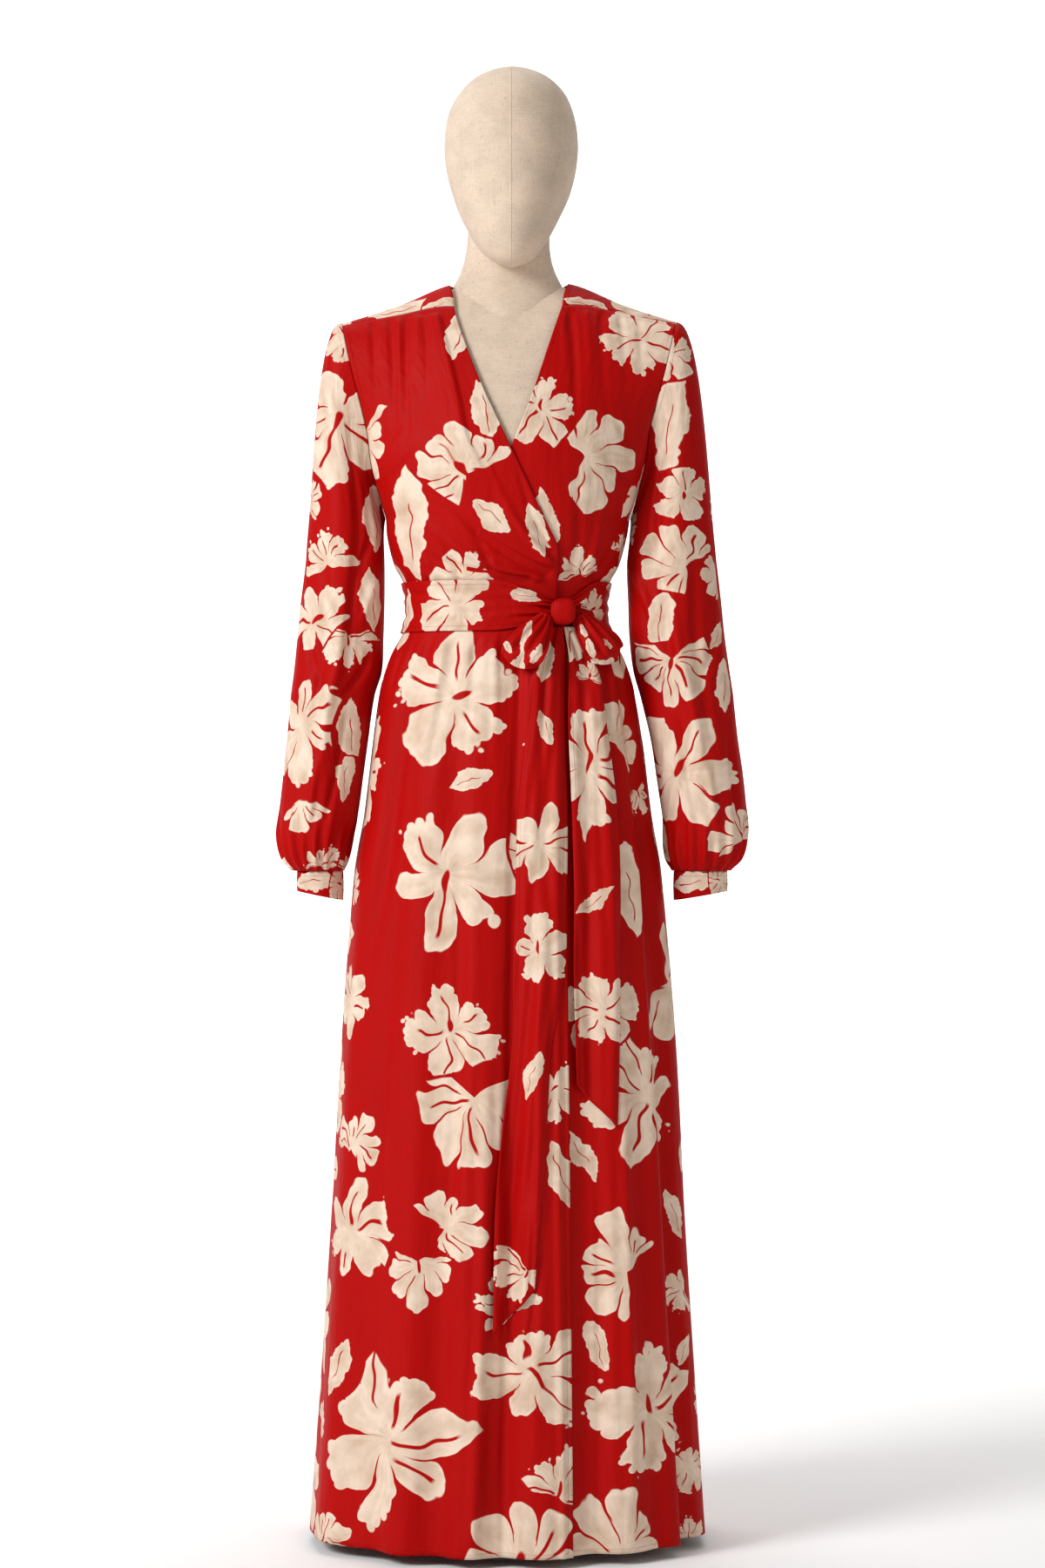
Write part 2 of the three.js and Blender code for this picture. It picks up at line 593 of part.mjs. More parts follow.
// Gathers below the yoke and the pleat beside the neckline, as a lift off the plain front
function bodiceFold(x, z) {
  let fold = 0;
  const { top, bottom } = YOKE_GATHER_REACH;
  for (const row of YOKE_GATHER_ROWS) {
    fold += row.depth * hill(x - row.x, row.width) * ease((z - bottom) / (top - bottom));
  }
  const past = along(PLEAT_ROWS, "z", "x", z) - x;
  const strength = PLEAT.depth * ease((z - PLEAT.bottom) / (PLEAT.full - PLEAT.bottom));
  const beside = past > 0 ? ease(past / PLEAT.edge) * (1 - ease(past / PLEAT.spread)) : 0;
  return fold + strength * beside;
}

// A torso point moved out: way runs like rise in front, and on from 1 at the shoulder line down the back
function torsoAt(share, way, lift = 0) {
  const plain = (a, b) => (b <= 1 ? torsoPoint(a, b, false) : torsoPoint(a, 2 - b, true));
  const point = plain(share, way);
  if (lift === 0) return point;
  const nudge = 1e-3;
  const inside = Math.min(Math.abs(share), 1 - 2 * nudge) * Math.sign(share);
  const across = plain(inside + nudge, way).sub(plain(inside - nudge, way));
  const onwards = plain(inside, way + nudge).sub(plain(inside, way - nudge));
  return point.addScaledVector(across.cross(onwards).normalize(), lift);
}

const BODICE_BOTTOM = -1 + SEAM_GAP / 2 / (UNDERARM_Z - WAIST_Z);
const BODICE_LOW_BANDS = 5; // between the waist and the underarm
const FRONT_BANDS = BODICE_LOW_BANDS + YOKE_FRONT_RISE.armhole / RISE_STEP;
const BACK_BANDS = BODICE_LOW_BANDS + YOKE_BACK_RISE / RISE_STEP;

// The rise of a side edge's points: below the underarm in equal bands, above it in armhole steps
function sideRise(v, bands) {
  const row = v * bands - BODICE_LOW_BANDS;
  const rise = row < 0 ? (-row / BODICE_LOW_BANDS) * BODICE_BOTTOM : row * RISE_STEP;
  return rise - (v > 1 - 0.5 / bands ? SEAM_RISE * (1 - (1 - v) * 2 * bands) : 0);
}

// One wrap front: u runs from its side seam to its neckline edge
function wrapFrontPoint(side, u, v, liftAt, depth) {
  const edges = side === RIGHT ? OVER_EDGE_ROWS : UNDER_EDGE_ROWS;
  const neckRise = lerp(BODICE_BOTTOM, YOKE_FRONT_RISE.neck - SEAM_RISE, v);
  const rise = lerp(sideRise(v, FRONT_BANDS), neckRise, u);
  const edge = edgeShare(edges, neckRise);
  const round = Math.sin(lerp((side * Math.PI) / 2, Math.asin(edge), u));
  const share = lerp(round, lerp(side, edge, u), ease(rise / 0.4));
  const plain = torsoAt(share, rise);
  const fade = ease((1 - Math.abs(share)) / 0.03) * ease((1 - v) * FRONT_BANDS);
  const lift = liftAt(plain.x, plain.z) * fade - depth;
  return torsoAt(share, rise, lift).add(new THREE.Vector3(0, -SEAM_GAP / 2, 0));
}

function bodiceFrontRight() {
  const face = (depth) => (u, v) => wrapFrontPoint(RIGHT, u, v, bodiceFold, depth);
  return clothWall(face(0), FRONT_COLUMNS, FRONT_BANDS, { inner: face(WALL) });
}

function bodiceFrontLeft() {
  const lift = (x, z) => {
    const past = x - along(OVER_EDGE_ROWS, "z", "x", z);
    const underTheOther = 1 - ease(past / LAP_BLEND);
    return (x > 0 ? bodiceFold(x, z) * (1 - underTheOther) : 0) - BODICE_LAP * underTheOther;
  };
  const face = (depth) => (u, v) => wrapFrontPoint(LEFT, 1 - u, v, lift, depth);
  return clothWall(face(0), FRONT_COLUMNS, FRONT_BANDS, { inner: face(WALL) });
}

function bodiceBack() {
  const face = (depth) => (u, v) => {
    const share = Math.sin(lerp(Math.PI / 2, Math.PI * 1.5, u));
    return torsoAt(share, 2 - sideRise(v, BACK_BANDS), -depth).add(new THREE.Vector3(0, SEAM_GAP / 2, 0));
  };
  return clothWall(face(0), BACK_COLUMNS, BACK_BANDS, { inner: face(WALL) });
}

// The yoke's outer edge: up the armhole over the shoulder, then across the back
function yokeOuter(place) {
  if (place <= YOKE_CORNER_PLACE) {
    return { share: 1, rise: YOKE_FRONT_RISE.armhole + place * RISE_STEP };
  }
  const toMiddle = (place - YOKE_CORNER_PLACE) / (YOKE_LAST_PLACE - YOKE_CORNER_PLACE);
  return { share: Math.cos((Math.PI / 2) * toMiddle), rise: 2 - YOKE_BACK_RISE };
}

// The yoke: u runs from the right front seam round the back of the neck to the left front seam
function yoke() {
  const frontShare = (side) =>
    Math.abs(edgeShare(side === RIGHT ? OVER_EDGE_ROWS : UNDER_EDGE_ROWS, YOKE_FRONT_RISE.neck));
  const face = (depth) => (u, v) => {
    const side = u <= 0.5 ? RIGHT : LEFT;
    const place = (u <= 0.5 ? u * 2 : 2 - u * 2) * YOKE_LAST_PLACE;
    const outer = yokeOuter(place);
    const correction = (frontShare(side) - YOKE_ROWS[0].neckShare) * ease(1 - place / 2);
    const neckShare = along(YOKE_ROWS, "place", "neckShare", place) + correction;
    const share = side * lerp(neckShare, outer.share, v);
    const frontGap = SEAM_RISE * ease(1 - place);
    const rise = lerp(along(YOKE_ROWS, "place", "neckRise", place), outer.rise, v) + frontGap;
    return torsoAt(share, rise, -depth);
  };
  return clothWall(face(0), 2 * YOKE_LAST_PLACE, YOKE_ACROSS, { inner: face(WALL) });
}

// Sleeves and cuffs

// The armhole seen as a loop: turn 0 is the underarm, 0.5 the shoulder tip, the front comes first
function armholePoint(side, turn) {
  return torsoAt(side, 2 * turn);
}

function sleeveRing(rows, side, turn, z) {
  const size = (key) => along(rows, "z", key, z);
  const angle = 2 * Math.PI * turn;
  const degrees = 360 * turn;
  let fold = 0;
  for (const row of SLEEVE_FOLD_ROWS) {
    const reach = ease((row.top - z) / 90) * ease((z - row.bottom) / 90);
    fold += row.depth * reach * hill(degreesApart(degrees, row.angle), row.width);
  }
  const gatherReach = ease((CUFF_GATHERS.top - z) / (CUFF_GATHERS.top - CUFF_GATHERS.bottom));
  fold += CUFF_GATHERS.depth * gatherReach * Math.cos(CUFF_GATHERS.count * angle);
  const x = size("middle") - (size("half") + fold) * Math.cos(angle);
  const y = size("y") - (size("depth") + fold) * Math.sin(angle);
  return new THREE.Vector3(side * x, y, z);
}

// Between the armhole and the first level ring the cloth runs in curves that start outwards
function sleeveCapPoint(rows, side, turn, share) {
  const start = armholePoint(side, turn).add(new THREE.Vector3(side * ARMHOLE_GAP, 0, 0));
  const end = sleeveRing(rows, side, turn, SLEEVE_FREE_Z);
  const reach = start.distanceTo(end);
  const height = (start.z - UNDERARM_Z) / (SHOULDER_ROWS[4].z - UNDERARM_Z);
  const outwards = new THREE.Vector3(side * (0.25 + 0.75 * height), 0, -(1 - height) * 0.9 - 0.05);
  const leave = outwards.normalize().multiplyScalar(reach * lerp(0.8, 0.36, height));
  const arrive = new THREE.Vector3(side * 0.1 * height, 0, -1).multiplyScalar(reach);
  const square = share * share;
  const cube = square * share;
  return start
    .multiplyScalar(2 * cube - 3 * square + 1)
    .addScaledVector(leave, cube - 2 * square + share)
    .addScaledVector(end, 3 * square - 2 * cube)
    .addScaledVector(arrive, cube - square);
}

function sleeve(rows, side) {
  const heights = SLEEVE_RING_HEIGHTS.map((z, place) => ({ z, place }));
  const total = SLEEVE_CAP_ROWS + heights.length - 1;
  const point = (u, v) => {
    const turn = side === RIGHT ? u : -u;
    const row = v * total;
    const wholeTurn = turn - Math.floor(turn);
    if (row <= SLEEVE_CAP_ROWS) return sleeveCapPoint(rows, side, wholeTurn, row / SLEEVE_CAP_ROWS);
    const place = row - SLEEVE_CAP_ROWS;
    const low = Math.min(Math.floor(place), heights.length - 2);
    const z = lerp(heights[low].z, heights[low + 1].z, place - low);
    return sleeveRing(rows, side, wholeTurn, z);
  };
  return clothWall(point, SLEEVE_COLUMNS, total, { closed: true });
}

function cuff(size, side) {
  const point = (u, v) => {
    const angle = 2 * Math.PI * (side === RIGHT ? u : -u);
    const x = size.middle - size.half * Math.cos(angle);
    const y = size.y - size.depth * Math.sin(angle);
    const bottom = lerp(size.inner, size.outer, (1 - Math.cos(angle)) / 2);
    return new THREE.Vector3(side * x, y, lerp(size.top, bottom, v));
  };
  return clothWall(point, 24, 1, { closed: true, wall: CUFF_WALL });
}

// The sash

function beltPoint(phi, v) {
  const knotAngle = frontAngle(BELT.knotX, WAIST_Z);
  const apart = degreesApart(THREE.MathUtils.radToDeg(phi), THREE.MathUtils.radToDeg(knotAngle));
  const pinch = BELT.pinch * hill(apart, apart < 0 ? BELT.leftReach : BELT.rightReach);
  const middle = lerp((BELT.top + BELT.bottom) / 2, KNOT.z, pinch);
  const half = ((BELT.top - BELT.bottom) / 2) * (1 - pinch);
  const z = middle + half * (2 * v - 1);
  const crease = BELT_FOLD.depth * Math.cos(Math.PI * BELT_FOLD.count * (2 * v - 1)) ** 2;
  return ringPoint(phi, z, BELT.lift + WALL + crease);
}

function belt() {
  const point = (u, v) => beltPoint(2 * Math.PI * u, v);
  return clothWall(point, BELT_COLUMNS, BELT_BANDS, { closed: true });
}

// The knot is a short tube of cloth lying across, open at both ends for the loops' roots
function bowKnot() {
  const behind = ringPoint(frontAngle(KNOT.x, KNOT.z), KNOT.z, BELT.lift + WALL + KNOT.lift);
  const middleY = behind.y - KNOT.depth;
  const point = (u, v) => {
    const angle = 2 * Math.PI * u;
    const share = 2 * v - 1;
    const size = lerp(1, KNOT.mouth, Math.abs(share) ** 3.5);
    const x = KNOT.x + KNOT.half * share;
    const y = middleY - KNOT.depth * size * Math.cos(angle);
    return new THREE.Vector3(x, y, KNOT.z + KNOT.height * size * Math.sin(angle));
  };
  return clothWall((u, v) => point(-u, v), 16, 6, { closed: true, wall: KNOT.wall });
}

// A point on the dress's front at one X and Z, moved out
function onFront(x, z, lift) {
  const phi = frontAngle(x, z);
  return z < WAIST_Z ? skirtPoint(phi, z, lift) : ringPoint(phi, z, lift);
}

// Tables that run down from the knot are read by the row's place in them
function placed(rows) {
  return rows.map((row, place) => ({ ...row, place }));
}

// A bow loop: the strip leaves the knot at the near side, turns at the end and comes back on top
function bowLoop(table) {
  const rows = placed(table);
  const last = rows.length - 1;
  const read = (key, place) => along(rows, "place", key, place);
  const middle = (place) => new THREE.Vector2(read("x", place), read("z", place));
  const point = (u, v) => {
    const turn = Math.sin(Math.PI * v);
    const place = last * turn;
    const side = 2 * u - 1;
    const spread = ease((1 - turn) * 4);
    const closing = (read("near", place) + read("far", place)) / 2;
    const layer = read(v > 0.5 ? "far" : "near", place);
    const belly = v > 0.5 ? LOOP_BELLY.top : LOOP_BELLY.under;
    const lift = lerp(closing, layer, spread) + belly * hill(side, LOOP_BELLY.width);
    const here = middle(place);
    const way = middle(Math.min(place + 0.01, last)).sub(middle(Math.max(place - 0.01, 0)));
    const across = new THREE.Vector2(-way.y, way.x).normalize().multiplyScalar(read("half", place) * side);
    return onFront(here.x + across.x, here.y + across.y, lift);
  };
  return clothWall(point, 4, 14);
}

function tie(table, outerSide) {
  const rows = placed(table);
  const last = rows.length - 1;
  const point = (u, v) => {
    const place = last * (1 - v);
    const read = (key) => along(rows, "place", key, place);
    const across = 2 * u - 1;
    const x = read("x") + read("half") * across;
    const slant = TIE_END_SLANT * outerSide * across * ease(place - last + 1);
    const fold = TIE_FOLD.depth * Math.cos(Math.PI * TIE_FOLD.waves * (across + 1)) * ease(place / 2);
    return onFront(x, read("z") - slant, read("lift") + TIE_FOLD.depth + fold);
  };
  return clothWall(point, 4, 20);
}

// The display form

function ellipseRing(row, count) {
  const ring = [];
  for (let i = 0; i < count; i += 1) {
    const angle = (2 * Math.PI * i) / count;
    ring.push(
      new THREE.Vector3(
        row.centre + row.half * Math.sin(angle),
        row.y - row.depth * Math.cos(angle),
        row.z,
      ),
    );
  }
  return ring;
}

// One ring of the torso: for the rises above the underarm its ends are the rounded stumps
function formRing(rise) {
  const ring = [];
  const stump = radians(FORM_STUMP_DEGREES);
  for (let i = 0; i < FORM_COLUMNS; i += 1) {
    const phi = (2 * Math.PI * i) / FORM_COLUMNS;
    const isBack = Math.cos(phi) < 0;
    const fromSide = Math.PI / 2 - Math.abs(Math.asin(Math.sin(phi)));
    const side = Math.sin(phi) < 0 ? -1 : 1;
    if (fromSide < stump) {
      const end = torsoPoint(side, rise, false, FORM_INSET);
      const share = Math.sin(((Math.PI / 2) * fromSide) / stump) * (isBack ? 1 : -1);
      const bulge = FORM_STUMP * (-end.y / ARMHOLE_DEPTH) * Math.sqrt(1 - share * share);
      ring.push(new THREE.Vector3(end.x + side * bulge, -end.y * share, end.z));
    } else {
      ring.push(torsoPoint(Math.sin(phi) / Math.cos(stump), rise, isBack, FORM_INSET));
    }
  }
  return ring;
}

function formTorso() {
  const low = FORM_ROWS.map((row) => {
    const ring = [];
    for (let i = 0; i < FORM_COLUMNS; i += 1) {
      const phi = (2 * Math.PI * i) / FORM_COLUMNS;
      const isFront = Math.cos(phi) >= 0;
      const depth = isFront ? -row.front : row.back;
      const y = depth * ringFullness(Math.sin(phi));
      ring.push(new THREE.Vector3(row.centre + row.half * Math.sin(phi), y, row.z));
    }
    return ring;
  });
  return loftSolid([...low, ...FORM_RISES.map(formRing)]);
}

function solidOf(geometry) {
  const merged = mergeVertices(geometry, 1e-4);
  return new wasm.Manifold(
    new wasm.Mesh({
      numProp: 3,
      vertProperties: new Float32Array(merged.attributes.position.array),
      triVerts: new Uint32Array(merged.index.array),
    }),
  );
}

function formBody() {
  const neck = loftSolid(NECK_ROWS.map((row) => ellipseRing(row, HEAD_COLUMNS)));
  const head = loftSolid(HEAD_ROWS.map((row) => ellipseRing(row, HEAD_COLUMNS)));
  const joined = solidOf(formTorso()).add(solidOf(neck)).add(solidOf(head)).getMesh();
  return geometryOf(Array.from(joined.vertProperties), Array.from(joined.triVerts));
}

function formPole() {
  const height = POLE.top - BASE.height - SEAM_GAP;
  const geometry = new THREE.CylinderGeometry(POLE.radius, POLE.radius, height, POLE.sides);
  geometry.rotateX(Math.PI / 2);
  geometry.translate(0, 0, BASE.height + SEAM_GAP + height / 2);
  return geometry;
}

function formBase() {
  const outline = [
    new THREE.Vector2(0, 0),
    new THREE.Vector2(BASE.radius, 0),
    new THREE.Vector2(BASE.radius, BASE.height - BASE.edge),
    new THREE.Vector2(BASE.radius - BASE.edge, BASE.height),
    new THREE.Vector2(0, BASE.height),
  ];
  const geometry = new THREE.LatheGeometry(outline, BASE.sides);
  geometry.rotateX(Math.PI / 2);
  return geometry;
}

// Materials and the group

const looks = {
  printed: { color: 0xbe1410, roughness: 0.6, metalness: 0 },
  linen: { color: 0xe0cfbd, roughness: 0.9, metalness: 0 },
  metal: { color: 0x9a9a9a, roughness: 0.4, metalness: 0.8 },
};

const dress = new THREE.Group();

function addPiece(name, geometry, look) {
  const piece = new THREE.Mesh(geometry, new THREE.MeshStandardMaterial(look));
  piece.name = name;
  dress.add(piece);
}

addPiece("yoke", yoke(), looks.printed);
addPiece("bodice_front_right", bodiceFrontRight(), looks.printed);
addPiece("bodice_front_left", bodiceFrontLeft(), looks.printed);
addPiece("bodice_back", bodiceBack(), looks.printed);
addPiece("sleeve_right", sleeve(RIGHT_SLEEVE_ROWS, RIGHT), looks.printed);
addPiece("sleeve_left", sleeve(LEFT_SLEEVE_ROWS, LEFT), looks.printed);
addPiece("cuff_right", cuff(RIGHT_CUFF, RIGHT), looks.printed);
addPiece("cuff_left", cuff(LEFT_CUFF, LEFT), looks.printed);
addPiece("skirt_front_right", skirtFrontRight(), looks.printed);
addPiece("skirt_front_left", skirtFrontLeft(), looks.printed);
addPiece("skirt_back", skirtBack(), looks.printed);
addPiece("belt", belt(), looks.printed);
addPiece("bow_knot", bowKnot(), looks.printed);
addPiece("bow_loop_right", bowLoop(RIGHT_LOOP_ROWS), looks.printed);
addPiece("bow_loop_left", bowLoop(LEFT_LOOP_ROWS), looks.printed);
addPiece("tie_right", tie(RIGHT_TIE_ROWS, RIGHT), looks.printed);
addPiece("tie_left", tie(LEFT_TIE_ROWS, LEFT), looks.printed);
addPiece("form_body", formBody(), looks.linen);
addPiece("form_pole", formPole(), looks.metal);
addPiece("form_base", formBase(), looks.metal);

export default dress;
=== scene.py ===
"""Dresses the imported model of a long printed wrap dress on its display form.

Sizes in the tables are in millimetres and in the frame of the model: +Z up, the front faces -Y,
the wearer's right is at negative X. Meshes are made in metres.
"""
import math

import bpy
import numpy as np
from bpy.props import FloatProperty, FloatVectorProperty, IntProperty, PointerProperty
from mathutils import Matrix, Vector


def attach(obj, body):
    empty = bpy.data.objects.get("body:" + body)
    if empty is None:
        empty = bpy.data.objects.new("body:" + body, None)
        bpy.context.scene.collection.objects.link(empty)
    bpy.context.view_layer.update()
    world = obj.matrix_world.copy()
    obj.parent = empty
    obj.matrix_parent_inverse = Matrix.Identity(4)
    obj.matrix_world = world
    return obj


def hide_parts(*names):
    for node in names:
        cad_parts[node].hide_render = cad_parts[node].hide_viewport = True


bl_info = {
    "name": "Wrap dress on a display form",
    "version": (1, 0, 0),
    "blender": (4, 5, 0),
    "location": "View3D > Sidebar > Dress",
    "description": "Builds the printed cloth, the linen form and the photo stage",
    "category": "Object",
}

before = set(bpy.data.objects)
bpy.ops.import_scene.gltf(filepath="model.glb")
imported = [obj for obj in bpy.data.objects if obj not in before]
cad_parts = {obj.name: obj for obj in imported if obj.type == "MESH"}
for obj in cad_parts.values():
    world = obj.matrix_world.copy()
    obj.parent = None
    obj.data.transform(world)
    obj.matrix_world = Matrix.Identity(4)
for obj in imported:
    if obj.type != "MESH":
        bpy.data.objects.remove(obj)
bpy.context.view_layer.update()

RIGHT, LEFT = -1, 1
SEAM_GAP = 0.3
WALL = 1.6  # the solids' wall, which the sash lies on
WAIST_Z, UNDERARM_Z, HEM_Z = 1106, 1215, 12
RING_POWER = 2.2


class Table:
    """Rows with named columns, read as smooth curves."""

    def __init__(self, columns, *rows):
        self.names = columns.split()
        self.rows = rows
        self.columns = dict(zip(self.names, np.array(rows, dtype=float).T))
        self.columns["place"] = np.arange(len(rows), dtype=float)

    def read(self, key, by, value):
        """The value of column key where column by has the given value"""
        x, y = self.columns[by], self.columns[key]
        slope = np.empty(len(x))
        slope[1:-1] = (y[2:] - y[:-2]) / (x[2:] - x[:-2])
        slope[0] = (y[1] - y[0]) / (x[1] - x[0])
        slope[-1] = (y[-1] - y[-2]) / (x[-1] - x[-2])
        value = np.asarray(value, dtype=float)
        i = np.clip(np.searchsorted(x, value, side="right") - 1, 0, len(x) - 2)
        step = x[i + 1] - x[i]
        t = np.clip((value - x[i]) / step, 0, 1)
        square, cube = t * t, t * t * t
        return (
            (2 * cube - 3 * square + 1) * y[i]
            + (cube - 2 * square + t) * slope[i] * step
            + (3 * square - 2 * cube) * y[i + 1]
            + (cube - square) * slope[i + 1] * step
        )


# The dress's rings from the hem to the underarm
BODY = Table(
    "z half front back centre",
    (12, 235, 197, 190, -6.5), (171, 224, 182, 180, -5.5), (379, 211, 164, 164, -5),
    (587, 200, 146, 148, -4), (796, 183, 127, 133, -5), (857, 172.5, 122, 130, -5),
    (900, 167, 118, 126, -5), (947, 161.5, 114, 122, -5), (1000, 153.5, 108, 113, -6),
    (1022, 149, 104, 106, -6), (1055, 137, 97, 92, -6.5), (1079, 124, 90, 80, -6.5),
    (1106, 117, 84, 74, -6.5), (1138, 123, 91, 79, -6.5), (1159, 134, 99, 87, -6.5),
    (1193, 143, 108, 94, -6), (1215, 145.5, 112, 97, -5),
)
ARM_LINE = Table("share half", (0, 145.5), (0.09, 152), (0.25, 162), (0.43, 168), (0.74, 186), (1, 199))
SHOULDER = Table("x z", (0, 1500), (71, 1495), (130, 1471), (160, 1460.5), (200, 1448))
OVER_EDGE = Table(
    "z x", (1106, 52), (1140, 54), (1176, 54), (1202, 42), (1235, 26), (1262, 13), (1288, 1),
    (1326, -17), (1373, -38), (1426, -58), (1458, -68),
)
UNDER_EDGE = Table(
    "z x", (1106, -58), (1160, -52), (1200, -38), (1240, -20), (1287, -3), (1308, 5),
    (1352, 22.5), (1377, 31), (1430, 48), (1466, 60),
)
UNDERARM_FRONT, UNDERARM_BACK = BODY.rows[-1][2:4]
SHOULDER_TIP_Z = SHOULDER.rows[-1][1]
TORSO_CENTRE = (-5, -3.5)  # at the underarm and at the shoulder
ARMHOLE_DEPTH = 50
BUST_RISE = 8
BODICE_LAP, SKIRT_LAP, LAP_BLEND = 3, 4, 40
OVER_SKIRT_EDGE = (71, 62)  # X at the hem and at the waist
UNDER_SKIRT_EDGE = (-78, -60)
HEM_RISE = 3  # at the sides
YOKE_SEAM_Z = 1452

# How much deeper the visible cloth lies than the tables of folds and creases say
RELIEF = {"skirt folds": 1.15, "skirt": 2.0, "bodice front": 1.6, "bodice back": 1.35, "sleeve": 2.0}
BODICE_ROOM = (3.8, 5.4)  # that troughs have over the form, above the underarm and at the waist

# Long folds of the skirt, in degrees from the front towards the viewer's right
SKIRT_FOLDS = Table(
    "top hem width top_depth hem_depth",
    (-66, -64, 14, 1, 6), (-45, -43, 12, -2, -8), (-35, -33, 10, 1, 5), (-22, -21, 9, -2, -8),
    (-13, -12, 9, 1, 4), (4, -2, 8, -3, -9), (11, 11, 8, 1, 5), (28, 26, 8, -3, -9),
    (40, 38, 12, 1, 6), (54, 55, 9, 2, 8), (63, 64, 8, -2, -12), (77, 76, 10, 0, 5),
    (100, 100, 12, -1, -6), (116, 115, 13, 1, 7), (134, 133, 11, -2, -9), (150, 149, 12, 1, 7),
    (166, 166, 10, -2, -8), (181, 182, 12, 1, 8), (197, 198, 11, -2, -9), (213, 214, 12, 1, 6),
    (229, 230, 12, -2, -8), (246, 245, 12, 1, 7), (262, 262, 10, -1, -5),
)
WAIST_GATHERS = Table(
    "angle depth reach",
    (-77, 2.2, 100), (-67, 2.6, 90), (-58, 1.8, 120), (-50, 2.5, 80), (-41, 2, 130), (-31, 2.4, 70),
    (-20, 2.6, 110), (-9, 1.8, 90), (33, 2.4, 120), (44, 2, 80), (54, 2.6, 110), (66, 1.9, 100),
    (78, 2.3, 90), (101, 2.2, 110), (113, 2.6, 80), (127, 2, 120), (139, 2.4, 90), (152, 2.2, 130),
    (167, 2.6, 100), (180, 2, 90), (194, 2.5, 120), (208, 2.1, 80), (221, 2.4, 110), (233, 2, 90),
    (246, 2.5, 120), (259, 2.1, 90),
)
GATHER_TOP_Z, GATHER_FULL_Z, GATHER_WIDTH = 1074, 1048, 5.5
CREASE_TOP_Z = 1078

# Creases: from one end to the other, how far they reach to each side, how high they stand at
# the start, in the middle and at the end, and how far they bow sideways
CREASE = "x0 z0 x1 z1 left right start middle end bow"
SKIRT_FRONT_CREASES = Table(
    CREASE,
    (-70, 1079, -112, 860, 9, 12, -2.4, -1.5, 0, 4), (-42, 1079, -60, 930, 8, 9, -2.2, -1, 0, 3),
    (-20, 1079, -22, 900, 9, 7, 1.8, 1, 0, 2), (8, 1079, -2, 860, 9, 10, -2.6, -1.2, 0, 5),
    (30, 1079, 12, 700, 10, 8, 1.6, 1.8, 0, 6), (-96, 1070, -140, 900, 10, 9, -1.6, -1, 0, 6),
    (-128, 1030, -178, 640, 14, 16, 0, -3, 0, 8), (-120, 760, -150, 200, 16, 20, 0, 3, 1, -6),
    (-60, 880, -78, 330, 14, 18, 0, -2.6, 0, 7), (-30, 620, -44, 40, 14, 12, 0, 3, 3, 5),
    (6, 1000, -9, 40, 9, 22, 0, -2.5, -2, -3), (30, 720, 21, 60, 6, 16, 0, 2.6, 0, 3),
    (33, 400, 16, 230, 4, 14, 0, -3, 0, 2), (52, 900, 60, 30, 9, 6, 0, 2.2, 2, -2),
    (-170, 420, -190, 30, 18, 16, 0, -2, -2, 0), (84, 1040, 92, 700, 8, 7, -2, -1.6, 0, 2),
    (112, 1060, 132, 840, 8, 8, 1.6, 1, 0, -4), (120, 700, 136, 40, 12, 10, 0, 2.4, 1, 4),
    (150, 980, 178, 420, 9, 8, 0, -2.6, 0, -5), (98, 560, 104, 60, 9, 12, 0, -2.4, -1, 4),
)
SKIRT_BACK_CREASES = Table(
    CREASE,
    (-100, 1079, -140, 820, 10, 12, -2, -1.6, 0, 6), (-62, 1079, -80, 900, 8, 10, -2.4, -1, 0, -4),
    (-24, 1079, -30, 860, 9, 8, 1.8, 1.2, 0, 3), (14, 1079, 20, 880, 9, 9, -2.2, -1.4, 0, -3),
    (50, 1079, 62, 820, 8, 10, 1.6, 1.4, 0, 4), (92, 1079, 120, 900, 10, 9, -2, -1, 0, -6),
    (-128, 900, -160, 300, 14, 18, 0, -3, 0, 6), (-70, 760, -84, 60, 16, 14, 0, 3, 2, -5),
    (-14, 820, -8, 200, 12, 16, 0, -2.6, 0, 6), (44, 680, 54, 40, 14, 16, 0, 2.8, 2, -4),
    (104, 860, 130, 260, 15, 12, 0, -3, 0, -6), (160, 760, 184, 120, 12, 14, 0, 2.4, 0, 4),
)
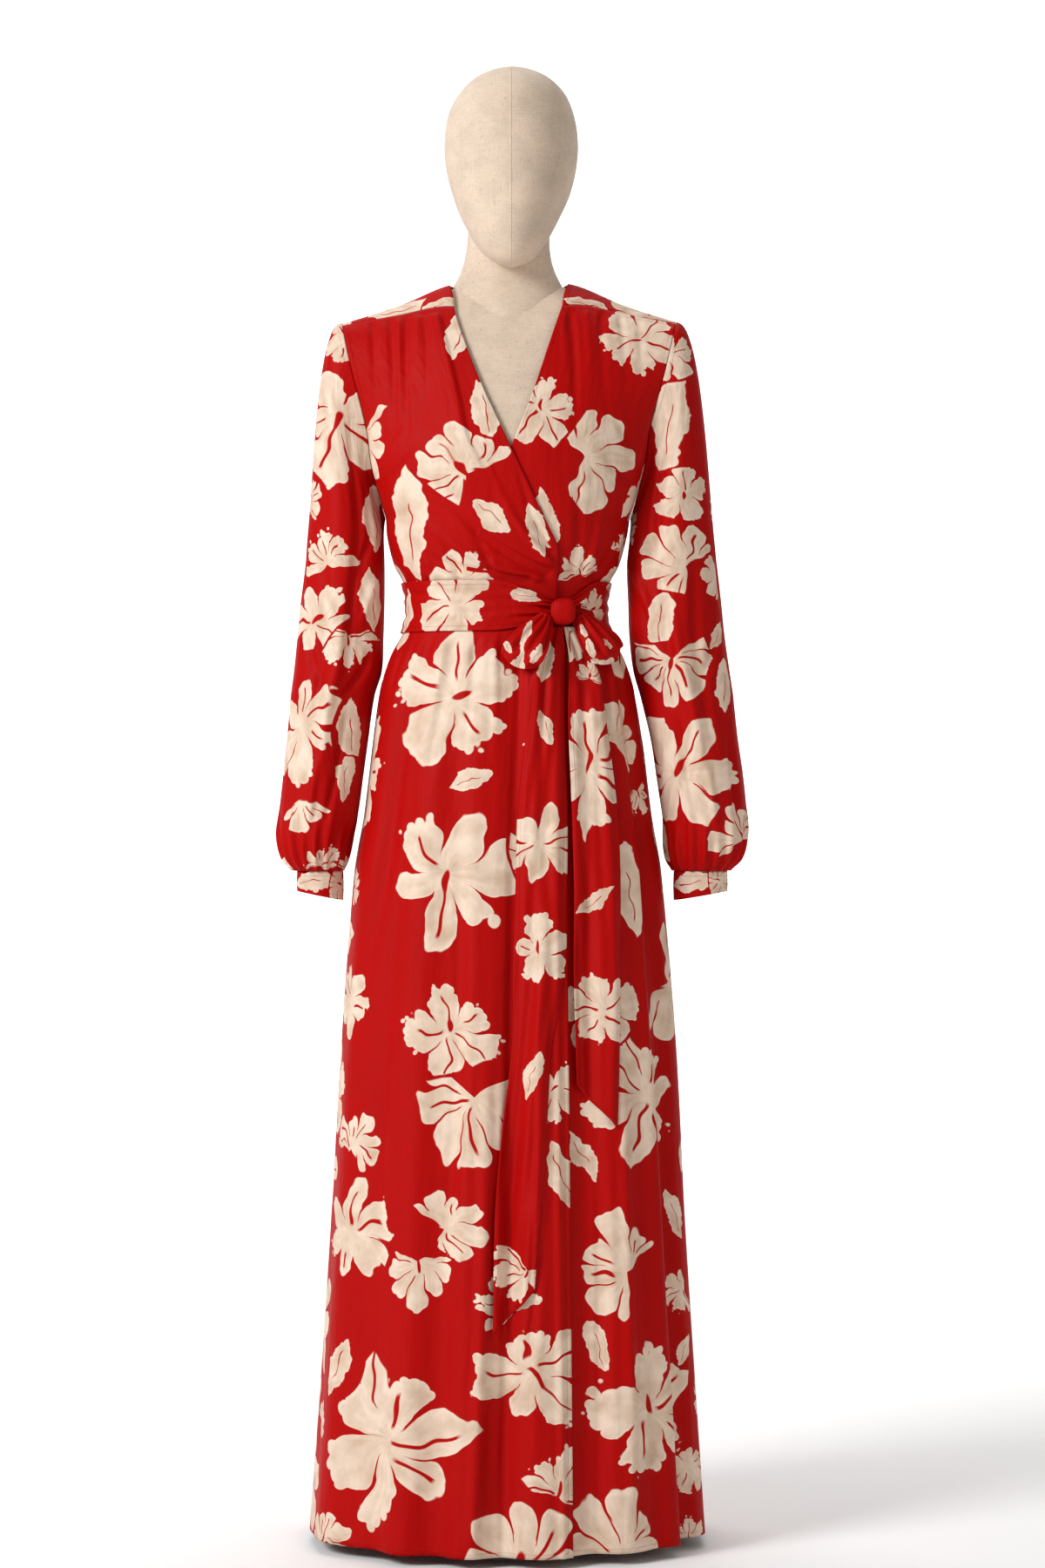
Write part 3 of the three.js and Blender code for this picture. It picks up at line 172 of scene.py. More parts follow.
BODICE_FRONT_CREASES = Table(
    CREASE,
    # gathers under the yoke, left and right of the neckline
    (-166, 1448, -158, 1330, 7, 9, -2, -1, 0, 0), (-145, 1452, -140, 1300, 7, 8, -1.8, -1.2, 0, 3),
    (-124, 1452, -121, 1290, 8, 7, -2.2, -1.2, 0, -2), (-103, 1452, -100, 1325, 6, 9, -1.7, -0.8, 0, 2),
    (-134, 1452, -131, 1350, 5, 5, 1.2, 0.6, 0, 0), (-112, 1452, -110, 1370, 5, 5, 1.2, 0.5, 0, 0),
    (69, 1455, 73, 1290, 7, 8, -3.2, -1.6, 0, 3), (60, 1452, 62, 1380, 4, 5, 1.2, 0.6, 0, 0),
    (88, 1455, 91, 1340, 7, 8, 1.4, 0.8, 0, 2), (106, 1455, 111, 1330, 7, 8, -1.8, -1, 0, -2),
    (128, 1452, 134, 1350, 7, 7, -1.6, -0.8, 0, 2), (150, 1450, 154, 1370, 7, 7, -1.4, -0.6, 0, 0),
    # folds that the tied sash draws out of the fronts
    (40, 1148, -90, 1255, 8, 11, -3.4, -2.6, 0, 14), (30, 1142, -110, 1212, 7, 9, 2.4, 2, 0, 12),
    (18, 1140, -118, 1176, 7, 9, -2.6, -2.2, 0, 8), (-30, 1142, -128, 1152, 6, 6, 1.6, 1.4, 0, 3),
    (44, 1160, -34, 1290, 6, 8, 2.2, 1.8, 0, 9), (46, 1172, 6, 1280, 5, 7, -2.4, -1.6, 0, 6),
    (-20, 1142, -46, 1200, 6, 7, -1.8, -1.6, 0, 0), (-62, 1140, -84, 1196, 7, 7, -1.8, -1.4, 0, 0),
    (-92, 1140, -108, 1180, 6, 6, 1.6, 1.2, 0, 0), (-118, 1140, -128, 1188, 6, 6, -1.4, -1, 0, 0),
    (70, 1146, 74, 1265, 7, 9, -2.6, -2, 0, -7), (84, 1142, 108, 1238, 7, 8, 2, 1.8, 0, -5),
    (96, 1142, 128, 1200, 6, 7, -1.8, -1.6, 0, -3), (112, 1142, 132, 1166, 5, 6, 1.4, 1, 0, 0),
    (78, 1150, 66, 1210, 5, 5, 1.6, 1, 0, 0),
    # pulls from the armholes
    (-158, 1250, -112, 1290, 7, 7, 0, -1.8, 0, -3), (-160, 1290, -126, 1330, 7, 8, 0, -1.4, 0, -3),
    (146, 1250, 108, 1282, 7, 7, 0, -1.8, 0, 3), (152, 1292, 120, 1330, 7, 8, 0, -1.3, 0, 3),
)
BODICE_BACK_CREASES = Table(
    CREASE,
    (-150, 1330, -100, 1250, 8, 9, 0, -2.2, 0, 6), (150, 1330, 96, 1244, 8, 9, 0, -2.2, 0, -6),
    (-90, 1390, -84, 1290, 7, 8, -1.6, -0.8, 0, 0), (-40, 1392, -42, 1270, 8, 8, -1.4, -0.8, 0, 0),
    (8, 1392, 6, 1300, 7, 7, 1.2, 0.6, 0, 0), (52, 1392, 56, 1280, 7, 8, -1.6, -0.8, 0, 0),
    (100, 1390, 104, 1300, 8, 7, -1.3, -0.7, 0, 0), (-104, 1140, -92, 1220, 7, 8, -2, -1.6, 0, 4),
    (-66, 1140, -60, 1190, 6, 7, 1.8, 1.2, 0, 0), (-30, 1140, -26, 1230, 7, 7, -2, -1.4, 0, 3),
    (12, 1140, 14, 1196, 6, 7, 1.6, 1.2, 0, 0), (48, 1140, 54, 1226, 7, 8, -2, -1.4, 0, -3),
    (86, 1140, 98, 1196, 6, 7, 1.8, 1.2, 0, 0), (112, 1140, 122, 1180, 6, 6, -1.6, -1, 0, 0),
)
PLEAT_LINE = Table("z x", (1215, -5), (1262, -26), (1300, -46), (1345, -56), (1405, -70), (1450, -81))
PLEAT = {"depth": 5.04, "edge": 7, "spread": 56, "bottom": 1225, "full": 1310}

RISE_STEP = 1 / 16
YOKE_FRONT_NECK, YOKE_FRONT_ARM = 0.69, 14 * RISE_STEP
YOKE_BACK_RISE = 7 * RISE_STEP
SEAM_RISE = 0.0015
YOKE_EDGE = Table(
    "at share rise", (0, 0.36, YOKE_FRONT_NECK), (1, 0.36, 0.85), (2, 0.355, 1), (5, 0.338, 1.06),
    (8, 0.3, 1.12), (11, 0.235, 1.18), (16, 0.12, 1.235), (20, 0, 1.252),
)
YOKE_CORNER, YOKE_LAST = 11, 20
YOKE_LIFT = 0.25

SLEEVE_COLUMNS = "z middle half y depth"
RIGHT_SLEEVE = Table(
    SLEEVE_COLUMNS,
    (796, 231, 30, -14, 31), (811, 234, 38, -14, 39), (837, 234, 44.5, -13, 46),
    (857, 231, 47, -12, 49), (909, 225, 48, -10, 51), (951, 220, 48.7, -9, 52),
    (1003, 214, 50, -7, 53), (1034, 207.5, 52.5, -6, 54), (1076, 204.5, 51.4, -4, 54),
    (1117, 202, 50, -3, 53), (1159, 199.5, 47.5, -1, 52), (1190, 199, 46, 0, 52),
)
LEFT_SLEEVE = Table(
    SLEEVE_COLUMNS,
    (796, 225, 33.5, -16, 33), (811, 228, 43.5, -16, 42), (837, 229.5, 49, -15, 48),
    (857, 229.5, 50.5, -14, 51), (909, 223.6, 52, -12, 53), (951, 217.5, 52.2, -10, 54),
    (1003, 208.5, 55.5, -8, 55), (1034, 202, 57.5, -6, 56), (1076, 196.7, 57, -4, 56),
    (1117, 194, 55.6, -3, 54), (1159, 191, 54, -1, 53), (1190, 191, 51, 0, 52),
)
SLEEVE_FREE_Z, SLEEVE_END_Z = 1190, 796
SLEEVE_CAP = 0.36  # the share of the rows that lie above the free sleeve
SLEEVE_DEGREE = 0.9  # millimetres round the sleeve
ARM_X = 200
ARMHOLE_GAP = 0.4
SLEEVE_FOLDS = Table(
    "angle width depth top bottom",
    (62, 26, -4, 1330, 850), (128, 30, -3, 1250, 900), (215, 28, -3.5, 1300, 870), (292, 28, -4, 1280, 860),
)
# Gathers into the cuff, all round, with their uneven depths and lengths; they are deepest at
# one height and shallower at the cuff, and the cloth sinks a little between them
CUFF_GATHER = {"full_z": 815, "at_cuff": 0.55, "relief": 1.9, "sink": 0.05}
CUFF_GATHERS = Table(
    "angle width depth top",
    (4, 9, 3, 868), (25, 8, 2.4, 880), (45, 9, 3.4, 860), (68, 10, 2.8, 905), (88, 8, 3.6, 872),
    (108, 8, 2.6, 850), (127, 9, 3.4, 892), (149, 9, 2.8, 865), (171, 9, 3.2, 884), (193, 9, 2.6, 858),
    (215, 9, 3.4, 896), (238, 9, 2.8, 870), (261, 9, 3.2, 860), (283, 9, 2.6, 888), (306, 9, 3.4, 866),
    (331, 10, 2.8, 878),
)
# Creases of the sleeves: x is degrees from the inner side over the front, z as before
SLEEVE_CREASES = Table(
    CREASE,
    (70, 1410, 84, 1230, 10, 12, 0, -2.2, 0, 4), (100, 1390, 96, 1180, 9, 12, 0, 2, 0, -4),
    (58, 1250, 74, 1010, 9, 12, 0, -2.6, 0, 6), (120, 1180, 112, 930, 10, 13, 0, -2.4, 0, -6),
    (84, 1120, 92, 900, 11, 9, 0, 2.4, 0, 3), (36, 1200, 66, 1140, 9, 9, 0, -2.4, 0, 4),
    (30, 1150, 60, 1080, 9, 9, 0, 2, 0, 4), (40, 1060, 76, 1000, 9, 9, 0, -2.2, 0, -4),
    (140, 1080, 104, 1010, 10, 10, 0, -2, 0, 4), (64, 980, 74, 860, 8, 9, 0, -2.6, -1, 0),
    (98, 930, 101, 850, 8, 8, 0, 2.4, 1, 0), (140, 960, 136, 850, 9, 9, 0, -2.4, -1, 0),
    (200, 1380, 210, 1160, 11, 12, 0, -2.4, 0, 5), (250, 1340, 244, 1080, 11, 12, 0, 2.2, 0, -5),
    (300, 1240, 286, 1010, 11, 11, 0, -2.4, 0, 5), (226, 1060, 236, 860, 11, 10, 0, -2.6, 0, 3),
    (268, 1000, 262, 850, 10, 10, 0, 2.4, 0, 0), (180, 1000, 186, 860, 10, 10, 0, -2.2, 0, 0),
    (320, 1120, 300, 1050, 9, 9, 0, -2, 0, 3), (170, 1260, 164, 1100, 10, 11, 0, -2, 0, 3),
)
CUFFS = {
    RIGHT: {"middle": 228.5, "half": 27.5, "y": -14, "depth": 28, "top": 795.7, "outer": 772, "inner": 761},
    LEFT: {"middle": 224.5, "half": 32, "y": -16, "depth": 31, "top": 795.7, "outer": 772, "inner": 761},
}
CUFF_WALL = 2

BELT = {"top": 1138, "bottom": 1079, "lift": 1.6, "knot_x": 60, "pinch": 0.62, "left": 44, "right": 26}
KNOT = {"x": 60, "z": 1101, "half": 14.5, "height": 16, "depth": 11, "lift": 4.4, "wall": 2, "mouth": 0.5}
LOOPS = {
    RIGHT: Table(
        "x z half near far",
        (37, 1098, 5, 11, 17), (31, 1086, 12, 8, 20), (20, 1068, 20, 6.5, 27), (10, 1050, 23, 6.5, 27),
        (4, 1038, 21, 9, 19),
    ),
    LEFT: Table(
        "x z half near far",
        (71.2, 1099, 5, 11, 17), (79, 1086, 11, 8, 19), (89, 1068, 16, 6.5, 24), (97, 1053, 16, 6.5, 24),
        (103, 1042, 14, 9, 18),
    ),
}
TIES = {
    RIGHT: Table(
        "x z half lift",
        (52, 1083.5, 6, 4.5), (47, 1055, 15, 3.2), (43, 1022, 20, 2.8), (40, 965, 23, 2.6),
        (36, 875, 29, 2.6), (34, 770, 30, 2.6), (32, 680, 30, 2.6), (24, 600, 23, 2.6),
        (15, 500, 25, 2.6), (7, 400, 26, 2.6), (2, 290, 24, 2.6),
    ),
    LEFT: Table(
        "x z half lift",
        (65, 1083.5, 6, 4.5), (76, 1055, 12, 3.2), (84, 1022, 18, 2.8), (88, 965, 22, 2.6),
        (94, 875, 25, 2.6), (98, 770, 26, 2.6), (98, 680, 26, 2.6), (98, 600, 24, 2.6), (98, 525, 22, 2.6),
    ),
}
TIE_END_SLANT, TIE_LIFT = 26, 2.2

FORM = Table(
    "z half front back centre",
    (760, 128, 88, 96, -5), (766, 142, 99, 108, -5), (780, 152, 106, 116, -5), (840, 158, 105, 114, -5),
    (900, 155, 103, 112, -5), (950, 149, 99, 107, -5), (1000, 140, 94, 99, -6), (1055, 125, 84, 81, -6.5),
    (1106, 110, 77, 68, -6.5), (1138, 115, 83, 73, -6.5), (1159, 124, 91, 81, -6.5),
    (1193, 137, 101, 88, -6), (1215, 140.1, 106, 91.8, -5),
)
FORM_INSET, FORM_STUMP, FORM_STUMP_DEGREES, FORM_POINTS = 5.4, 9, 10, 96
NECK = Table(
    "z half y depth centre",
    (1436, 62, 0, 60, -4), (1450, 66, 0, 56, -4), (1462, 68.5, 0, 52, -4), (1474, 69.5, 1, 47.5, -4),
    (1484, 68.5, 3, 45.5, -4), (1493, 65, 5, 44.5, -5), (1502, 60.5, 6.5, 44.3, -5),
    (1511, 56.5, 7.5, 45, -5), (1524, 52.5, 8, 46, -5), (1540, 49.8, 8, 47, -4.5),
    (1556, 49, 8, 48, -4), (1585, 46, 5, 48, -3), (1620, 38, 0, 38, -2),
)
HEAD = Table(
    "z half y depth centre",
    (1508, 4, -60, 4, 0), (1513, 18, -60, 20, 0), (1522, 30, -57, 34, -1), (1536, 41, -51, 49, -2),
    (1554, 51, -42, 62, -2), (1575, 61, -32, 73, -2), (1596, 69, -24, 82, -1), (1617, 75, -17, 88, -1),
    (1637, 78.5, -12, 92, -1), (1658, 80, -8, 94, -1), (1679, 78.5, -6, 92, -1), (1700, 73.8, -5, 87, -1),
    (1720, 64, -5, 76, 0), (1737, 48, -5, 58, 0), (1748, 28, -5, 34, 0), (1754, 6, -5, 7, 0),
)


def lerp(a, b, t):
    return a + (b - a) * t


def ease(share):
    """A soft rise from 0 to 1 while share runs from 0 to 1"""
    t = np.clip(share, 0, 1)
    return t * t * (3 - 2 * t)


def hill(distance, width):
    """A rounded hill that is 1 in the middle and 0 from its width outwards"""
    return np.cos(np.pi / 2 * np.clip(np.abs(distance) / width, 0, 1)) ** 2


def apart(a, b):
    """Degrees from b to a, the short way round"""
    return (a - b + 180) % 360 - 180


def stack(x, y, z):
    return np.stack(np.broadcast_arrays(x, y, z), axis=-1).astype(float)


def ring_fullness(share):
    """How much of a ring's depth is left at a share of its half width"""
    return np.maximum(0, 1 - np.abs(share) ** RING_POWER) ** (1 / RING_POWER)


def creases(table, x, z, scale=1.0):
    """The lift of all creases of a table at places x, z; scale makes a unit of x millimetres"""
    lift = np.zeros(np.broadcast(x, z).shape)
    for x0, z0, x1, z1, left, right, start, middle, end, bow in table.rows:
        run = ((x1 - x0) * scale, z1 - z0)
        length = math.hypot(*run)
        way = (run[0] / length, run[1] / length)
        dx, dz = (x - x0) * scale, z - z0
        t = (dx * way[0] + dz * way[1]) / length
        inside = np.clip(t, 0, 1)
        # positive on the viewer's right of a crease that runs down
        side = dz * way[0] - dx * way[1] if way[1] > 0 else dx * -way[1] + dz * way[0]
        off = side - bow * 4 * inside * (1 - inside)
        height = lerp(start, end, inside) + 4 * inside * (1 - inside) * (middle - (start + end) / 2)
        ends = ease((t + 0.06) / 0.06) * ease((1.06 - t) / 0.06)
        lift += height * ends * hill(off, np.where(off < 0, left, right))
    return lift


def ring_point(phi, z, lift=0.0):
    """A point of the dress's ring, phi being the angle from the front to the viewer's right"""
    def level(angle):
        front = np.cos(angle) >= 0
        depth = np.where(front, -BODY.read("front", "z", z), BODY.read("back", "z", z))
        x = BODY.read("centre", "z", z) + BODY.read("half", "z", z) * np.sin(angle)
        return x, depth * ring_fullness(np.sin(angle))

    nudge = 1e-4
    x, y = level(phi)
    (low_x, low_y), (high_x, high_y) = level(phi - nudge), level(phi + nudge)
    run_x, run_y = high_x - low_x, high_y - low_y
    length = np.hypot(run_x, run_y)
    return stack(x + lift * run_y / length, y - lift * run_x / length, z)


def front_angle(x, z):
    """The ring's angle at which its front passes x"""
    share = (x - BODY.read("centre", "z", z)) / BODY.read("half", "z", z)
    return np.arcsin(np.clip(share, -1, 1))


def skirt_fold(phi, z):
    """The lift of the skirt's long folds, waist gathers and creases"""
    degrees = np.degrees(phi)
    drop = np.clip((BELT["bottom"] - z) / (BELT["bottom"] - HEM_Z), 0, 1)
    fold = 0
    for top, hem, width, top_depth, hem_depth in SKIRT_FOLDS.rows:
        fold = fold + lerp(top_depth, hem_depth, drop) * hill(apart(degrees, lerp(top, hem, drop)), width)
    fold = RELIEF["skirt folds"] * fold * ease((BELT["bottom"] - z) / 60)
    for angle, depth, reach in WAIST_GATHERS.rows:
        above = ease((GATHER_TOP_Z - z) / (GATHER_TOP_Z - GATHER_FULL_Z))
        below = ease((z - GATHER_FULL_Z + reach) / reach)
        strength = np.where(z > GATHER_FULL_Z, above, below)
        fold = fold + depth * strength * hill(apart(degrees, angle), GATHER_WIDTH)
    x = ring_point(phi, z)[..., 0]
    fine = np.where(
        np.cos(phi) >= 0, creases(SKIRT_FRONT_CREASES, x, z), creases(SKIRT_BACK_CREASES, x, z)
    )
    return fold + fine * RELIEF["skirt"] * ease((CREASE_TOP_Z - z) / 24)


def skirt_point(phi, z, lift=0.0):
    return ring_point(phi, z, skirt_fold(phi, z) + lift)


def torso_point(share, rise, is_back, inset=0.0):
    """share runs from armhole to armhole, rise from the underarm to the shoulder line"""
    share, rise = np.broadcast_arrays(np.asarray(share, float), np.asarray(rise, float))
    sign = np.where(is_back, 1.0, -1.0)
    phi = np.arcsin(np.clip(share, -1, 1))
    low_z = UNDERARM_Z + np.minimum(rise, 0) * (UNDERARM_Z - WAIST_Z)
    low = ring_point(np.where(is_back, np.pi - phi, phi), low_z)
    psi = np.clip(rise, 0, 1) * np.pi / 2
    height = np.sin(psi)
    half = ARM_LINE.read("half", "share", height) - inset
    x = lerp(TORSO_CENTRE[0], TORSO_CENTRE[1], height) + half * share
    top = SHOULDER.read("z", "x", np.abs(x)) - inset
    z = UNDERARM_Z + (top - UNDERARM_Z) * height
    side = ARMHOLE_DEPTH * np.sin(np.minimum(2 * psi, np.pi)) ** 0.7 * (1 - inset / ARMHOLE_DEPTH)
    front_middle = UNDERARM_FRONT * (1 - height**2.2) ** 0.55 + BUST_RISE * hill(height - 0.28, 0.28)
    back_middle = UNDERARM_BACK * (1 - height**5) ** 0.5
    middle = np.where(is_back, back_middle, front_middle) * (1 - inset / UNDERARM_BACK)
    full = lerp(ring_fullness(share), 1 - np.abs(share) ** 2.4, ease(rise / 0.5))
    high = stack(x, sign * (side + (middle - side) * full), z)
    return np.where((rise <= 0)[..., None], low, high)


def torso_at(share, way, lift=0.0):
    """A torso point moved out; way runs on from 1 at the shoulder line down the back"""
    def surface(a, b):
        a, b = np.broadcast_arrays(a, b)
        return torso_point(a, np.where(b <= 1, b, 2 - b), b > 1)

    nudge = 1e-3
    inside = np.clip(share, -1 + 2 * nudge, 1 - 2 * nudge)
    across = surface(inside + nudge, way) - surface(inside - nudge, way)
    onwards = surface(inside, way + nudge) - surface(inside, way - nudge)
    normal = np.cross(across, onwards)
    normal /= np.linalg.norm(normal, axis=-1, keepdims=True)
    return surface(share, way) + normal * np.asarray(lift)[..., None]


def edge_share(edge, rise):
    """The share at which the torso's front passes an edge's X at one rise"""
    share = np.zeros(np.shape(rise))
    middle = torso_point(0 * share, rise, False)[..., 0]
    half = torso_point(0 * share + 1, rise, False)[..., 0] - middle
    for _ in range(12):
        x = edge.read("x", "z", torso_point(share, rise, False)[..., 2])
        share = (x - middle) / half
    return share


BODICE_BOTTOM = -1 + SEAM_GAP / 2 / (UNDERARM_Z - WAIST_Z)
LOW_BANDS = 5
FRONT_BANDS = LOW_BANDS + 14
BACK_BANDS = LOW_BANDS + 7


def side_rise(v, bands):
    """The rise along a side seam, whose rows follow the solids' bands"""
    row = v * bands - LOW_BANDS
    rise = np.where(row < 0, -row / LOW_BANDS * BODICE_BOTTOM, row * RISE_STEP)
    return rise - SEAM_RISE * np.clip(1 - (1 - v) * 2 * bands, 0, 1)


def bodice_fold(x, z):
    """The lift of the front's creases and of the pleat beside the neckline"""
    past = PLEAT_LINE.read("x", "z", z) - x
    strength = PLEAT["depth"] * ease((z - PLEAT["bottom"]) / (PLEAT["full"] - PLEAT["bottom"]))
    beside = np.where(past > 0, ease(past / PLEAT["edge"]) * (1 - ease(past / PLEAT["spread"])), 0)
    pleat = np.where(z < YOKE_SEAM_Z, strength * beside, 0)
    relief = RELIEF["bodice front"] + 0.5 * ease((1230 - z) / 60)
    drawn = creases(BODICE_FRONT_CREASES, x, z) * relief
    room = lerp(*BODICE_ROOM, ease((UNDERARM_Z - z) / 40))
    return np.where(drawn < 0, room * np.tanh(drawn / room), drawn) + pleat


def under_fold(x, z):
    """The folds of the front that laps under, flattened below the other one"""
    under = 1 - ease((x - OVER_EDGE.read("x", "z", z)) / LAP_BLEND)
    return np.where(x > 0, bodice_fold(x, z) * (1 - under), 0) - BODICE_LAP * under


def wrap_front(side, lift_at):
    """One wrap front: u runs from its side seam to its neckline edge"""
    edge = OVER_EDGE if side == RIGHT else UNDER_EDGE

    def point(u, v):
        if side == LEFT:
            u = 1 - u
        neck_rise = lerp(BODICE_BOTTOM, YOKE_FRONT_NECK - SEAM_RISE, v)
        rise = lerp(side_rise(v, FRONT_BANDS), neck_rise, u)
        edge_at = edge_share(edge, neck_rise)
        curved = np.sin(lerp(side * np.pi / 2, np.arcsin(edge_at), u))
        share = lerp(curved, lerp(side, edge_at, u), ease(rise / 0.4))
        smooth = torso_at(share, rise)
        fade = ease((1 - np.abs(share)) / 0.03) * ease((1 - v) * FRONT_BANDS)
        lift = lift_at(smooth[..., 0], smooth[..., 2]) * fade
        return torso_at(share, rise, lift) + np.array([0, -SEAM_GAP / 2, 0])

    return point


def bodice_back_point(u, v):
    """The back of the bodice: u runs from its left side seam to its right one, v up"""
    share = np.sin(lerp(np.pi / 2, np.pi * 1.5, u))
    way = 2 - side_rise(v, BACK_BANDS)
    smooth = torso_at(share, way)
    fade = ease((1 - np.abs(share)) / 0.05) * ease((1 - v) * BACK_BANDS / 2)
    lift = creases(BODICE_BACK_CREASES, smooth[..., 0], smooth[..., 2]) * RELIEF["bodice back"] * fade
    return torso_at(share, way, lift) + np.array([0, SEAM_GAP / 2, 0])


def yoke_point(u, v):
    """The yoke: u runs round its neckline from front to front, v from the neckline outwards"""
    is_right = u <= 0.5
    place = np.where(is_right, u * 2, 2 - u * 2) * YOKE_LAST
    to_middle = np.clip((place - YOKE_CORNER) / (YOKE_LAST - YOKE_CORNER), 0, 1)
    outer_share = np.cos(np.pi / 2 * to_middle)
    outer_rise = np.where(place <= YOKE_CORNER, YOKE_FRONT_ARM + place * RISE_STEP, 2 - YOKE_BACK_RISE)
    over, under = (abs(edge_share(edge, YOKE_FRONT_NECK)) for edge in (OVER_EDGE, UNDER_EDGE))
    from_table = np.where(is_right, over, under) - YOKE_EDGE.rows[0][1]
    neck = YOKE_EDGE.read("share", "at", place) + from_table * ease(1 - place / 2)
    share = np.where(is_right, RIGHT, LEFT) * lerp(neck, outer_share, v)
    rise = lerp(YOKE_EDGE.read("rise", "at", place), outer_rise, v) + SEAM_RISE * ease(1 - place)
    return torso_at(share, rise, YOKE_LIFT)


def sleeve_ring(table, side, turn, z):
    """The free sleeve below its cap, with long folds, creases and the gathers into the cuff"""
    degrees = 360 * turn
    fold = 0
    for angle, width, depth, top, bottom in SLEEVE_FOLDS.rows:
        reach = ease((top - z) / 90) * ease((z - bottom) / 90)
        fold = fold + depth * reach * hill(apart(degrees, angle), width)
    for angle, width, depth, top in CUFF_GATHERS.rows:
        reach = ease((top - z) / (top - CUFF_GATHER["full_z"]))
        reach = reach * lerp(CUFF_GATHER["at_cuff"], 1, ease((z - SLEEVE_END_Z) / 12))
        hills = CUFF_GATHER["relief"] * hill(apart(degrees, angle), width)
        fold = fold + depth * reach * (hills - CUFF_GATHER["sink"])
    fine = sum(creases(SLEEVE_CREASES, degrees + full, z, SLEEVE_DEGREE) for full in (0, -360, 360))
    fold = fold + fine * RELIEF["sleeve"] * ease((z - 800) / 30)
    x = table.read("middle", "z", z) - (table.read("half", "z", z) + fold) * np.cos(2 * np.pi * turn)
    y = table.read("y", "z", z) - (table.read("depth", "z", z) + fold) * np.sin(2 * np.pi * turn)
    return stack(side * x, y, z)


def sleeve_cap(table, side, turn, share):
    """The cap: a curve from the armhole at share 0 to the free sleeve at share 1"""
    start = torso_at(side * np.ones(np.shape(turn)), 2 * turn) + np.array([side * ARMHOLE_GAP, 0, 0])
    end = sleeve_ring(table, side, turn, 0 * turn + SLEEVE_FREE_Z)
    reach = np.linalg.norm(end - start, axis=-1)
    height = (start[..., 2] - UNDERARM_Z) / (SHOULDER_TIP_Z - UNDERARM_Z)
    leave = stack(side * (0.25 + 0.75 * height), 0, -(1 - height) * 0.9 - 0.05)
    leave /= np.linalg.norm(leave, axis=-1, keepdims=True)
    leave *= (reach * lerp(0.8, 0.36, height))[..., None]
    arrive = stack(side * 0.1 * height, 0, -1) * reach[..., None]
    share = np.asarray(share)[..., None]
    square, cube = share**2, share**3
    return (
        start * (2 * cube - 3 * square + 1)
        + leave * (cube - 2 * square + share)
        + end * (3 * square - 2 * cube)
        + arrive * (cube - square)
    )


def sleeve_point(table, side):
    """One sleeve: u runs round it and v down"""
    def point(u, v):
        turn = (u if side == RIGHT else 1 - u) % 1.0
        high = sleeve_cap(table, side, turn, np.clip(v / SLEEVE_CAP, 0, 1))
        z = lerp(SLEEVE_FREE_Z, SLEEVE_END_Z, np.clip((v - SLEEVE_CAP) / (1 - SLEEVE_CAP), 0, 1))
        low = sleeve_ring(table, side, turn, z)
        whole = np.where((v <= SLEEVE_CAP)[..., None], high, low)
        # pulls round the sleeve's head, dying out at its seam
        puff = 0.9 * np.sin(math.tau * 11 * turn) * hill(v - 0.03, 0.05) * hill(360 * turn - 180, 110)
        out = whole - stack(side * ARM_X, 0, whole[..., 2])
        out /= np.maximum(np.linalg.norm(out, axis=-1, keepdims=True), 1)
        return whole + out * puff[..., None]

    return point


def cuff_point(side):
    """One cuff: u runs round it and v down"""
    size = CUFFS[side]

    def point(u, v):
        angle = 2 * np.pi * (u if side == RIGHT else -u)
        bottom = lerp(size["inner"], size["outer"], (1 - np.cos(angle)) / 2)
        puff = 0.5 * np.sin(np.pi * v) + 0.3 * np.sin(5 * angle + 1)
        x = size["middle"] - (size["half"] + puff) * np.cos(angle)
        y = size["y"] - (size["depth"] + puff) * np.sin(angle)
        return stack(side * x, y, lerp(size["top"], bottom, v))

    return point


def belt_point(u, v):
    """The sash round the waist: u runs round it and v up, and it is drawn together at the knot"""
    phi = 2 * np.pi * u
    away = apart(np.degrees(phi), np.degrees(front_angle(BELT["knot_x"], WAIST_Z)))
    pinch = BELT["pinch"] * hill(away, np.where(away < 0, BELT["left"], BELT["right"]))
    middle = lerp((BELT["top"] + BELT["bottom"]) / 2, KNOT["z"], pinch)
    half = (BELT["top"] - BELT["bottom"]) / 2 * (1 - pinch)
    across = 2 * v - 1
    z = middle + half * across
    slip = 0.25 * np.sin(phi + 0.6) + 0.12 * np.sin(3 * phi)

    def fold(height, waves, drift, start):
        return height * np.cos(np.pi * (waves * across + drift * slip) + start)

    # soft lengthwise folds, more of them and deeper towards the knot
    near = pinch / BELT["pinch"]
    folds = fold(0.9, 2.6, 3, 0) + fold(0.6, 4.7, -4, 1) + fold(1.1, 5.6, 0, 0.8) * near**2
    inwards = np.cos(np.pi * across / 2)
    lift = BELT["lift"] + WALL + 1.1 * inwards**2 + folds * (0.8 + 2.1 * near) * inwards**0.5
    return ring_point(phi, z, lift)


def on_front(x, z, lift):
    """A point at x, z that lies on the skirt or, above the waist, on the plain ring"""
    phi = front_angle(x, z)
    return np.where((z < WAIST_Z)[..., None], skirt_point(phi, z, lift), ring_point(phi, z, lift))


